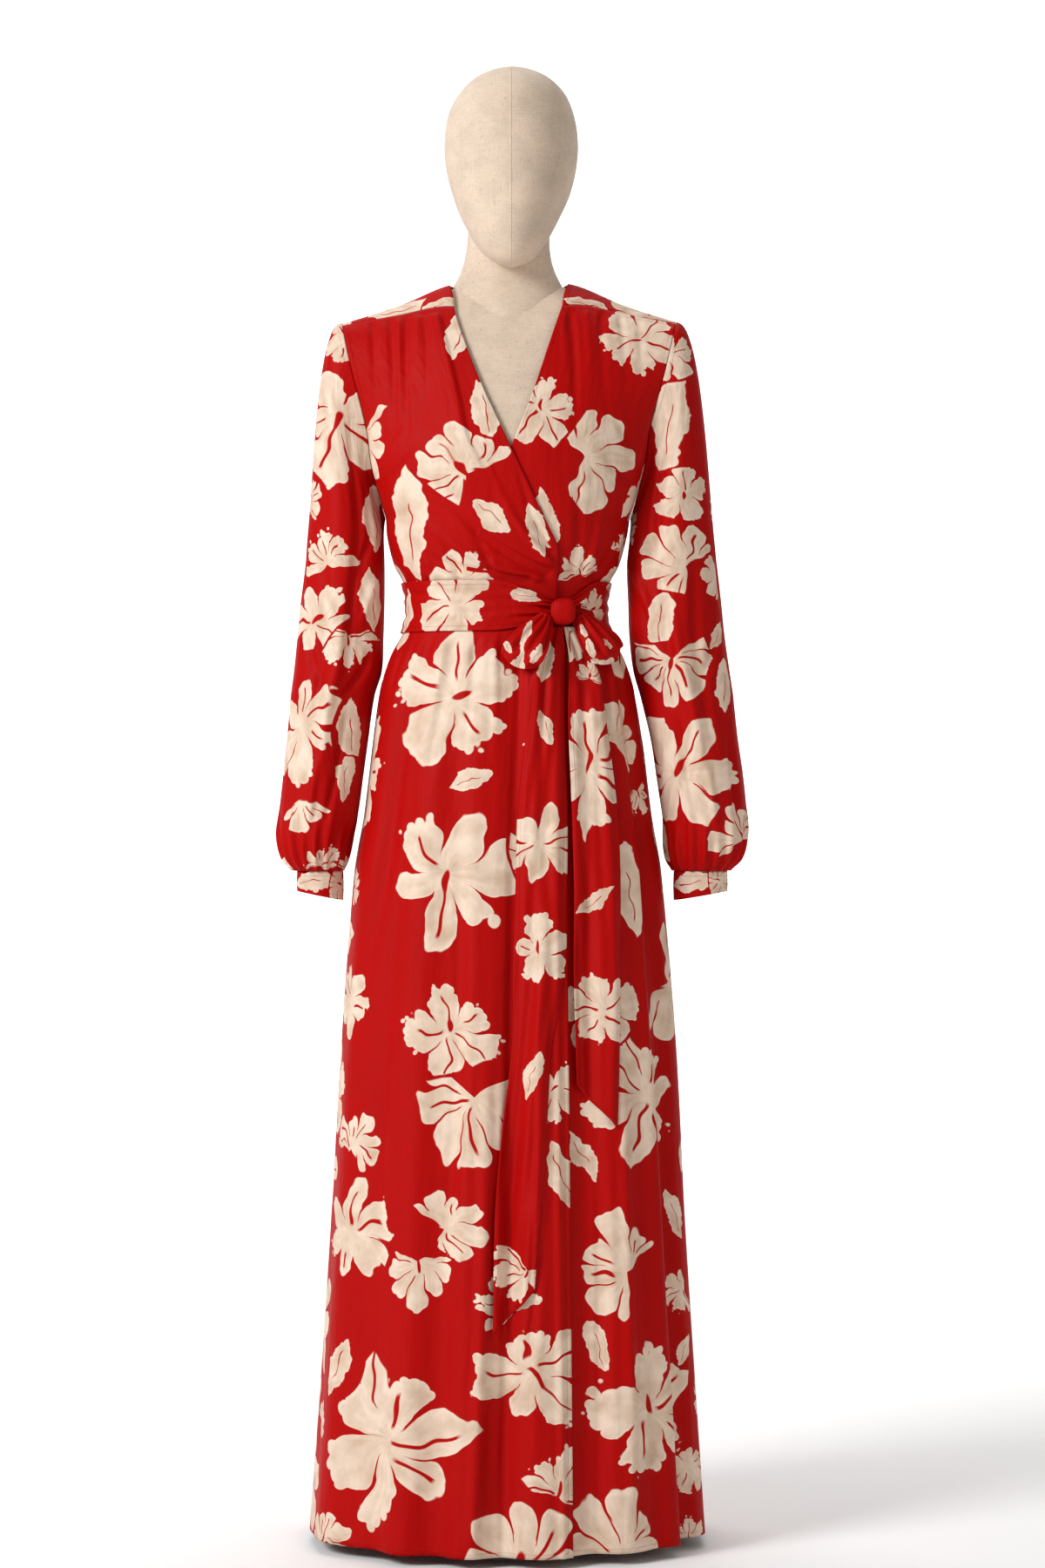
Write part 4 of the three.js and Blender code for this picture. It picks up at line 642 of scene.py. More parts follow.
def knot_point(u, v):
    """The knot: u runs round its wrap and v across it"""
    x0, z0 = KNOT["x"], KNOT["z"]
    behind = ring_point(front_angle(x0, z0), z0, BELT["lift"] + WALL + KNOT["lift"])
    angle = -2 * np.pi * u
    share = 2 * v - 1
    size = lerp(1, KNOT["mouth"], np.abs(share) ** 3.5)
    square = (np.abs(np.cos(angle)) ** 3 + np.abs(np.sin(angle)) ** 3) ** (-1 / 3)
    wraps = 1 - 0.05 * np.cos(math.tau * 2.4 * share + 0.8 * np.sin(angle)) ** 2
    size = size * lerp(1, square, 0.8) * wraps
    x = x0 + KNOT["half"] * share + 1.2 * np.sin(angle) * (1 - share**2)
    y = behind[1] - KNOT["depth"] - KNOT["depth"] * size * np.cos(angle)
    return stack(x, y, z0 + KNOT["height"] * size * np.sin(angle))


def loop_point(table):
    """One loop of the bow: u runs across it, v out below and back above"""
    last = len(table.rows) - 1

    def point(u, v):
        turn = np.sin(np.pi * v)
        place = last * turn
        side = 2 * u - 1
        spread = ease((1 - turn) * 4)
        near, far = table.read("near", "place", place), table.read("far", "place", place)
        top = v > 0.5
        belly = np.where(top, 5.0, 1.0) * hill(side, 1.25)
        crumple = 1.1 * np.sin(7 * side + 3 * place) * turn * np.where(top, 1, 0.3)
        rays = 2.3 * np.cos(np.pi * (3.4 * side + 0.3)) * ease((last - place) / 2.0) * ease(place / 0.5)
        lift = lerp((near + far) / 2, np.where(top, far, near), spread) + belly + crumple + rays
        x, z = table.read("x", "place", place), table.read("z", "place", place)
        low, high = np.maximum(place - 0.01, 0), np.minimum(place + 0.01, last)
        way_x = table.read("x", "place", high) - table.read("x", "place", low)
        way_z = table.read("z", "place", high) - table.read("z", "place", low)
        length = np.hypot(way_x, way_z)
        reach = table.read("half", "place", place) * side
        droop = (8 * (1 - side**2) - 6) * ease((place - last + 1.5) / 1.5)
        x, z = x + way_x / length * droop, z + way_z / length * droop
        return on_front(x - way_z / length * reach, z + way_x / length * reach, lift)

    return point


def tie_point(table, outer, waves):
    """One free end of the sash: u runs across it and v up; outer is the side its tip slants to"""
    last = len(table.rows) - 1

    def point(u, v):
        place = last * (1 - v)
        across = 2 * u - 1
        x = table.read("x", "place", place) + table.read("half", "place", place) * across
        slant = TIE_END_SLANT * outer * across * ease(place - last + 1)
        drift = 0.5 * np.sin(place * 1.1) + 0.3 * np.sin(place * 2.3 + 1)
        wide = 2.7 * np.cos(np.pi * waves * (across + 1) + drift)
        fold = wide + 1.2 * np.cos(np.pi * 3.1 * across - 2 * drift)
        lift = table.read("lift", "place", place) + TIE_LIFT + fold * lerp(0.4, 1, ease(place / 1.6))
        return on_front(x, table.read("z", "place", place) - slant, lift)

    return point


class DressSizes(bpy.types.PropertyGroup):
    """Sizes of the cloth"""

    wall: FloatProperty(
        name="Cloth", description="Thickness of the visible cloth", default=0.0011, min=0.0003, max=0.003,
        unit="LENGTH", subtype="DISTANCE", precision=4,
    )
    seed: IntProperty(name="Seed", description="Order of the print on hidden sides", default=11, min=0)


class DressColours(bpy.types.PropertyGroup):
    """Colours of the cloth and of the form"""

    red: FloatVectorProperty(
        name="Red", description="Ground of the print", default=(0.4, 0.0012, 0.0007), size=3, min=0, max=1,
        subtype="COLOR",
    )
    cream: FloatVectorProperty(
        name="Cream", description="Flowers of the print", default=(0.75, 0.6, 0.48), size=3, min=0, max=1,
        subtype="COLOR",
    )
    linen: FloatVectorProperty(
        name="Linen", description="Cover of the form", default=(0.66, 0.525, 0.405), size=3, min=0, max=1,
        subtype="COLOR",
    )


class DressStage(bpy.types.PropertyGroup):
    """The camera and the lights"""

    lens: FloatProperty(
        name="Lens", description="Focal length", default=90, min=20, max=200, unit="CAMERA",
    )
    key: FloatProperty(name="Key", description="Power of the main light", default=170, min=0, unit="POWER")
    fill: FloatProperty(name="Fill", description="Power of the fill light", default=20, min=0, unit="POWER")
    backdrop: FloatProperty(
        name="Backdrop", description="Power of the light on the wall behind", default=170, min=0,
        unit="POWER",
    )
    sky: FloatProperty(name="Sky", description="Strength of the white surroundings", default=0.34, min=0)


class Value:
    """A node socket that takes part in sums"""

    def __init__(self, shader, socket):
        self.shader, self.socket = shader, socket

    def math(self, operation, *others):
        return self.shader.node("ShaderNodeMath", {"operation": operation}, (self, *others))

    def __add__(self, other):
        return self.math("ADD", other)

    __radd__ = __add__

    def __sub__(self, other):
        return self.math("SUBTRACT", other)

    def __rsub__(self, other):
        return self.shader.node("ShaderNodeMath", {"operation": "SUBTRACT"}, (other, self))

    def __mul__(self, other):
        return self.math("MULTIPLY", other)

    __rmul__ = __mul__

    def __truediv__(self, other):
        return self.math("DIVIDE", other)

    def __pow__(self, other):
        return self.math("POWER", other)

    def __abs__(self):
        return self.math("ABSOLUTE")

    def step(self, width):
        """A soft step from 0 to 1 round zero"""
        return self.shader.node(
            "ShaderNodeMapRange", {"interpolation_type": "SMOOTHSTEP"},
            {"Value": self, "From Min": -width, "From Max": width},
        )


class Shader:
    """Builds one material from expressions"""

    def __init__(self, name):
        self.material = bpy.data.materials.new(name)
        self.material.use_nodes = True
        self.tree = self.material.node_tree
        self.surface = self.tree.nodes["Principled BSDF"]

    def node(self, kind, settings=None, inputs=None, output=0):
        """Any node: its settings first, then the values or links of its inputs"""
        made = self.tree.nodes.new(kind)
        for key, value in (settings or {}).items():
            setattr(made, key, value)
        pairs = inputs.items() if isinstance(inputs, dict) else enumerate(inputs or ())
        for key, value in pairs:
            self.put(made.inputs[key], value)
        return Value(self, made.outputs[output])

    def put(self, socket, value):
        if isinstance(value, Value):
            self.tree.links.new(value.socket, socket)
        else:
            socket.default_value = value

    def uv(self, name):
        """Both values of a UV layer"""
        return self.split(self.node("ShaderNodeUVMap", {"uv_map": name}))[:2]

    def noise(self, where, scale, detail=2.0, output=0, **more):
        inputs = {"Vector": where, "Scale": scale, "Detail": detail, **more}
        return self.node("ShaderNodeTexNoise", None, inputs, output)

    def vector(self, x, y, z=0.0):
        return self.node("ShaderNodeCombineXYZ", None, (x, y, z))

    def split(self, vector):
        parts = self.node("ShaderNodeSeparateXYZ", None, (vector,)).socket.node.outputs
        return [Value(self, part) for part in parts]

    def mix(self, factor, a, b):
        return self.node("ShaderNodeMix", {"data_type": "RGBA"}, {0: factor, 6: a, 7: b}, 2)

    def finish(self, links, constants):
        """Gives the surface's sockets what varies and what doesn't"""
        for key, value in {**links, **constants}.items():
            self.put(self.surface.inputs[key], value)
        return self.material

    def bump(self, height, distance, strength=1.0):
        return self.node(
            "ShaderNodeBump", None, {"Height": height, "Distance": distance, "Strength": strength}
        )


def rgb(colour, gain=1.0):
    """A colour for a socket, made lighter or darker by its gain"""
    return (*(min(1.0, channel * gain) for channel in colour), 1.0)


class MotifPlace:
    """Where a point lies in its motif, and what its petal is like"""

    def __init__(self, s):
        x, y = s.uv("motif")
        petals, self.spread = s.uv("petals")
        seed, self.notch = s.uv("trait")
        self.ragged, self.pointed = s.uv("edge")
        self.petals, self.seed = petals.math("ROUND"), seed.math("ROUND")
        self.where = s.vector(x, y, self.seed * 7.0)
        bend = s.split(s.noise(self.where, 1.5, 1.0, 1))
        self.x = x + (bend[0] - 0.5) * 0.5
        self.y = y + (bend[1] - 0.5) * 0.5
        self.reach = (self.x * self.x + self.y * self.y) ** 0.5
        self.theta = self.y.math("ARCTAN2", self.x) * (1 / math.tau)
        self.turn = self.theta * self.petals
        cell = self.turn.math("ROUND")
        self.off = abs(self.turn - cell)
        petal = s.vector(cell.math("FLOORED_MODULO", self.petals), self.seed, 1.7)
        self.luck = s.split(s.node("ShaderNodeTexWhiteNoise", {"noise_dimensions": "3D"}, (petal,), 1))
        self.length = self.luck[0] * 0.34 + 0.74
        self.is_leaf = self.petals.math("LESS_THAN", 1.5)


def motif_rim(s, m, room):
    """How far inside its motif's outline a point lies, in motif sizes"""
    is_point = (m.pointed - m.luck[1]).math("GREATER_THAN", 0.0)
    power = 3.2 + m.luck[2] * 5.0 - is_point * (1.7 + m.luck[2] * 5.0)
    depth = m.notch * (m.luck[1] * 0.5 + 0.6)
    outline = m.length * (1.0 - depth * (m.off * 2.0) ** power)
    outline = outline * (m.spread * 0.5 - abs(m.theta)).step(0.03)
    lumps = s.node(
        "ShaderNodeTexVoronoi", {"feature": "F1"}, {"Vector": m.where, "Scale": 7.0, "Randomness": 0.9}
    )
    scallop = (0.42 - lumps) * 0.24 * m.ragged * (1.0 - is_point * 0.8)
    wander = (s.noise(m.where, 4.0, 1.0) - 0.5) * 0.16
    flower = outline + scallop * (m.reach - 0.3).step(0.2) + wander - m.reach
    # a leaf that grows out of some flowers, at an angle that the seed turns by the golden angle
    way = m.seed * 2.3999
    tip_x = m.x * way.math("COSINE") + m.y * way.math("SINE")
    tip_y = m.y * way.math("COSINE") - m.x * way.math("SINE")
    tail_x = (tip_x - 0.7) * 1.9
    tail = (1.0 - tail_x * tail_x) * 0.2 + wander * 0.4 - abs(tip_y)
    flower = flower.math("MAXIMUM", tail - (1.0 - m.pointed * 2.0).math("MAXIMUM", 0.0))
    # a leaf that stands alone along x
    leaf = (1.0 - m.x * m.x).math("MAXIMUM", 0.0) * 0.4 + scallop * 0.5 + wander - abs(m.y)
    leaf = leaf.math("MINIMUM", (1.0 - abs(m.x)) * 2.0)
    rim = flower + (leaf - flower) * m.is_leaf
    return rim.math("MINIMUM", room + wander * 0.3 - 0.03)


def motif_slits(m):
    """Thin red slits along some petals, between them, in the middle and along a leaf"""
    arc = m.reach / m.petals * math.tau
    width = 0.012 + 0.016 * m.luck[2]
    midline = (width - m.off * arc).step(0.007) * (m.luck[2] - 0.55).step(0.01)
    midline = midline * (m.reach - 0.3 + m.luck[0] * 0.2).step(0.04)
    midline = midline * (m.length * 0.78 - m.reach).step(0.04)
    gaps = (0.017 - (0.5 - m.off) * arc).step(0.007) * (m.reach - 0.24 - m.luck[1] * 0.34).step(0.04)
    eye_x = (m.x - 0.1) * 0.3
    eye = (0.05 - (eye_x * eye_x + m.y * m.y) ** 0.5).step(0.008) * (m.seed * 0.5).math("FRACT") * 2.0
    midrib = (0.016 - abs(m.y)).step(0.008) * (0.5 - abs(m.x + 0.12)).step(0.06)
    return midline.math("MAXIMUM", gaps).math("MAXIMUM", eye) * (1.0 - m.is_leaf) + midrib * m.is_leaf


def flower_print(colours):
    """Red crepe with cream flowers, drawn round the motif that each face belongs to"""
    s = Shader("flower_print")
    m = MotifPlace(s)
    across, along = s.uv("cloth")
    room, border = s.uv("room")
    rim = motif_rim(s, m, room)
    mask = rim.step(0.012) * (1.0 - motif_slits(m))
    ground = s.vector(across, along, 0.0)
    mottle = s.noise(ground, 30.0, 3.0)
    broad = s.noise(ground, 6.0, 1.0)
    vein = s.noise(s.vector(m.turn * 1.3, m.reach * 0.7, m.seed), 3.5, 2.0)
    edge = 1.0 - (rim - 0.05).step(0.07)
    tone = 0.6 - (mottle - 0.5) * 2.4 - (vein - 0.5) * 1.3 + edge * 0.45
    shaded = [channel * gain for channel, gain in zip(colours.cream, (0.76, 0.68, 0.6))]
    cream = s.mix(tone, rgb(shaded), rgb(colours.cream, 1.04))
    red = s.mix(broad * 0.7 + mottle * 0.3, rgb(colours.red, 0.88), rgb(colours.red, 1.12))
    # the turned edge and its row of stitches, by the distance from the border in centimetres
    thread = ((across + along) * 330.0).math("FRACT").math("LESS_THAN", 0.7)
    stitch = (0.035 - abs(border - 0.55)).step(0.02) * thread
    turned = (0.6 - border).step(0.05)
    crinkle = s.noise(s.vector(across * 1.6, along, 0.0), 420.0, 2.0)
    wave = s.noise(s.vector(across * 2.4, along * 0.6, 3.0), 22.0, 2.0)
    relief = crinkle * 0.12 + wave * 1.6 + turned * 0.22 - stitch * 0.25
    dye = s.mix(stitch * 0.4, s.mix(mask, red, cream), rgb(colours.red, 0.5))
    return s.finish(
        {"Base Color": dye, "Roughness": 0.5 + mottle * 0.16, "Normal": s.bump(relief, 0.0022, 0.55)},
        {
            "Sheen Weight": 0.06, "Sheen Roughness": 0.35, "Sheen Tint": (0.9, 0.2, 0.15, 1),
            "Specular IOR Level": 0.08,
        },
    )


def linen_cover(colours):
    """Plain linen with slubs, and the seam down the middle of the face"""
    s = Shader("linen_cover")
    place = s.node("ShaderNodeTexCoord", None, None, 3)
    x, y, z = s.split(place)
    weft = s.noise(s.vector(x * 70.0, y * 70.0, z * 900.0), 1.0, 3.0)
    warp = s.noise(s.vector(x * 900.0, y * 900.0, z * 70.0), 1.0, 3.0)
    blotch = s.noise(place, 30.0, 4.0)
    specks = (s.noise(place, 260.0, 2.0) - 0.66).step(0.05)
    seam = (0.0007 - abs(x + 0.001)).step(0.0005) * (0.0 - y).step(0.01) * (z - 1.51).step(0.004)
    weave = weft * 0.5 + warp * 0.5
    tone = (weave - 0.5) * 1.8 + (blotch - 0.5) * 1.3 + 0.55 - specks * 0.5
    colour = s.mix(tone, rgb(colours.linen, 0.78), rgb(colours.linen, 1.12))
    colour = s.mix(seam * 0.12, colour, rgb(colours.linen, 0.7))
    normal = s.bump(weave * 0.8 + seam * 0.5, 0.0014, 0.6)
    return s.finish({"Base Color": colour, "Normal": normal}, {"Roughness": 0.85, "Sheen Weight": 0.15})


def coated_steel():
    """Powder coated steel of the pole and the base"""
    s = Shader("coated_steel")
    place = s.node("ShaderNodeTexCoord", None, None, 3)
    grain = s.noise(place, 900.0, 2.0)
    cloud = s.noise(place, 12.0, 2.0)
    colour = s.mix(cloud, rgb((0.13, 0.13, 0.135)), rgb((0.17, 0.17, 0.175)))
    return s.finish(
        {"Base Color": colour, "Roughness": 0.42 + grain * 0.12, "Normal": s.bump(grain, 0.0003, 0.3)},
        {"Metallic": 0.3},
    )


def pale_floor():
    """Matt white of the photo's floor"""
    return Shader("pale_floor").finish(
        {}, {"Base Color": (0.93, 0.93, 0.93, 1), "Roughness": 0.9, "Specular IOR Level": 0.1}
    )


# How many petals a motif has, how much of the turn they fill, how deep the notches between them
# are, how ragged its rim is, how many of its petals are pointed, and how far out its middle lies
KINDS = {
    "bloom": (5, 1.1, 0.62, 1.0, 0.2, 0.0),
    "orchid": (6, 1.1, 0.78, 0.9, 0.5, 0.0),
    "fan": (9, 0.66, 0.42, 0.1, 0.0, 0.3),
    "spray": (7, 0.62, 0.6, 1.2, 0.2, 0.3),
    "leaf": (1, 1.1, 0.0, 0.5, 0.0, 0.0),
}
NO_MOTIF, NO_NEIGHBOUR = 9.0, 99  # places far outside any motif, in motif sizes
FACES_AT_ONCE = 5000


def motif(kind, x, z, size, turn, seed):
    return {"kind": kind, "x": x, "z": z, "size": size, "turn": turn, "seed": seed}


def scatter(spots, placed, seed):
    """More motifs for the places that the photo doesn't show, kept apart from the placed ones"""
    luck = np.random.RandomState(seed)
    found, taken = [], [(m["at"], m["size"]) for m in placed]
    for size in (84, 78, 72, 64, 56, 48, 42, 38, 34, 30, 26, 22):
        for _ in range(40 if len(spots) else 0):
            at, reach = spots[luck.randint(len(spots))], size * luck.uniform(0.92, 1.08)
            if any(np.linalg.norm(at - spot) < (reach + other) * 0.93 for spot, other in taken):
                continue
            kinds = ["bloom", "orchid", "fan", "bloom"] if size > 40 else ["fan", "leaf", "spray", "leaf"]
            made = motif(kinds[luck.randint(4)], 0, 0, reach, luck.uniform(0, 360), luck.randint(1, 40))
            made["at"] = at
            found.append(made)
            taken.append((at, reach))
    return found


class Cloth:
    """A grid of points on a cloth's outer face, made into a thin closed shell"""

    def __init__(self, name, point, columns, rows, closed=False, wall=None, hidden=-0.2):
        self.name, self.closed = name, closed
        self.wall = wall or bpy.context.scene.dress_sizes.wall * 1000
        self.hidden = hidden  # a motif is scattered where the cloth faces more to the back than this
        u = np.linspace(0, 1, columns + 1)
        v = np.linspace(0, 1, rows + 1)
        grid_u, grid_v = np.meshgrid(u, v, indexing="ij")
        self.points = np.broadcast_to(point(grid_u, grid_v), (*grid_u.shape, 3)).copy()

    def normals(self):
        across = np.gradient(self.points, axis=0)
        if self.closed:
            across[0] = across[-1] = self.points[1] - self.points[-2]
        up = np.gradient(self.points, axis=1)
        normal = np.cross(across, up)
        return normal / np.maximum(np.linalg.norm(normal, axis=-1, keepdims=True), 1e-9)

    def flat(self):
        """Distances on the cloth in millimetres: across, up, and from the nearest border"""
        steps = np.linalg.norm(np.diff(self.points, axis=0), axis=-1)
        across = np.concatenate([np.zeros((1, steps.shape[1])), np.cumsum(steps, axis=0)])
        steps = np.linalg.norm(np.diff(self.points, axis=1), axis=-1)
        up = np.concatenate([np.zeros((steps.shape[0], 1)), np.cumsum(steps, axis=1)], axis=1)
        border = np.minimum(up, up[:, -1:] - up)
        if not self.closed:
            border = np.minimum(border, np.minimum(across, across[-1:] - across))
        return np.stack([across - across[len(across) // 2], up, border], axis=-1)

    def build(self, motifs, cover, seed):
        points, normals, flat = self.points, self.normals(), self.flat()
        inner = points - normals * self.wall
        lines, rows = points.shape[0] - 1, points.shape[1] - 1
        kept = lines if self.closed else lines + 1
        vertices = np.concatenate([points[:kept].reshape(-1, 3), inner[:kept].reshape(-1, 3)])
        count = kept * (rows + 1)

        def index(i, j):
            return (i % kept) * (rows + 1) + j

        i, j = np.meshgrid(np.arange(lines), np.arange(rows), indexing="ij")
        i, j = i.ravel(), j.ravel()
        around = [(i, j), (i + 1, j), (i + 1, j + 1), (i, j + 1)]
        outer = np.stack([index(a, b) for a, b in around], axis=1)
        corner_flat = np.stack([flat[a, b] for a, b in around], axis=1)
        faces, flats = [outer, outer[:, ::-1] + count], [corner_flat, corner_flat[:, ::-1]]

        def close(cells):
            """Joins the outer side to the inner one along a border"""
            a = np.array([index(*cell) for cell in cells])
            where = np.array([flat[cell] for cell in cells])
            faces.append(np.stack([a[:-1] + count, a[1:] + count, a[1:], a[:-1]], axis=1))
            flats.append(np.stack([where[:-1], where[1:], where[1:], where[:-1]], axis=1))

        close([(k, 0) for k in range(lines + 1)])
        close([(k, rows) for k in range(lines, -1, -1)])
        if not self.closed:
            close([(0, k) for k in range(rows, -1, -1)])
            close([(lines, k) for k in range(rows + 1)])
        faces, flats = np.concatenate(faces), np.concatenate(flats)
        mesh = bpy.data.meshes.new(self.name)
        mesh.from_pydata((vertices / 1000).tolist(), [], faces.tolist())
        mesh.polygons.foreach_set("use_smooth", np.ones(len(faces), dtype=bool))
        self.layers(mesh, flats, vertices[faces], self.place(motifs, seed))
        piece = bpy.data.objects.new(self.name, mesh)
        bpy.context.collection.objects.link(piece)
        mesh.materials.append(cover)
        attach(piece, "root")
        return piece

    def place(self, motifs, seed):
        """Every motif's middle on the cloth, with the directions that run across and up there"""
        spots, normals = self.points.reshape(-1, 3), self.normals().reshape(-1, 3)
        facing = np.where(normals[:, 1] < 0.1, 0, 1e6)
        for m in motifs:
            away = np.hypot(spots[:, 0] - m["x"], spots[:, 2] - m["z"]) + facing
            m["at"] = spots[np.argmin(away)]
        motifs = motifs + scatter(spots[normals[:, 1] > self.hidden], motifs, seed)
        for m in motifs:
            near = np.linalg.norm(spots - m["at"], axis=1) < max(m["size"] * 0.4, 6)
            out = normals[near].mean(axis=0)
            out /= np.linalg.norm(out)
            across = np.cross([0, 0, 1.0], out)
            across /= max(np.linalg.norm(across), 1e-6)
            m["axes"] = (across, np.cross(out, across), out)
        return motifs

    def nearest(self, corners, at, size):
        """Each face's nearest motif and, for its corners, the room up to the next one"""
        middle = corners.mean(axis=1)
        nearest, room = np.empty(len(middle), dtype=int), np.empty(corners.shape[:2])
        for start in range(0, len(middle), FACES_AT_ONCE):
            part = slice(start, start + FACES_AT_ONCE)
            away = np.linalg.norm(middle[part, None, :] - at, axis=-1) / size
            nearest[part] = own = np.argmin(away, axis=1)
            away = np.linalg.norm(corners[part, :, None, :] - at, axis=-1) / size
            mine = np.take_along_axis(away, own[:, None, None], axis=2)
            away[np.arange(len(own)), :, own] = NO_NEIGHBOUR
            room[part] = (away.min(axis=2) - mine[..., 0]) / 2
        return nearest, room

    def layers(self, mesh, flats, corners, motifs):
        """Writes where every corner lies in its motif; the motif's own traits go along"""
        for name in ("cloth", "motif", "petals", "trait", "edge", "room"):
            mesh.uv_layers.new(name=name)

        def put(name, values):
            mesh.uv_layers[name].uv.foreach_set("vector", values.astype(np.float32).ravel())

        put("cloth", flats[..., :2] / 1000)
        border = flats[..., 2] / 10
        if not motifs:
            put("motif", np.full((*border.shape, 2), NO_MOTIF))
            put("room", np.stack([np.ones(border.shape), border], -1))
            return
        at = np.array([m["at"] for m in motifs])
        size = np.array([m["size"] for m in motifs])
        nearest, room = self.nearest(corners, at, size)
        put("room", np.stack([room, border], -1))
        axes = np.array([m["axes"] for m in motifs])[nearest]
        rel = corners - at[nearest][:, None, :]
        local = np.einsum("fcx,fax->fca", rel, axes[:, :2])
        run = np.linalg.norm(local, axis=2)
        local = local * np.minimum(np.linalg.norm(rel, axis=2) / np.maximum(run, 0.01), 1.8)[..., None]
        local = local / size[nearest][:, None, None]
        turn = np.radians([m["turn"] for m in motifs])[nearest][:, None]
        kinds = np.array([KINDS[m["kind"]] for m in motifs])[nearest]
        seeds = np.array([m["seed"] for m in motifs], dtype=float)[nearest]
        along_x = local[..., 0] * np.cos(turn) + local[..., 1] * np.sin(turn)
        along_y = -local[..., 0] * np.sin(turn) + local[..., 1] * np.cos(turn)
        put("motif", np.stack([along_x * (1 - kinds[:, 5:] * 0.4) + kinds[:, 5:], along_y], -1))
        traits = {"petals": kinds[:, :2], "trait": np.stack([seeds, kinds[:, 2]], -1), "edge": kinds[:, 3:5]}
        for name, values in traits.items():
            put(name, np.repeat(values, 4, axis=0))


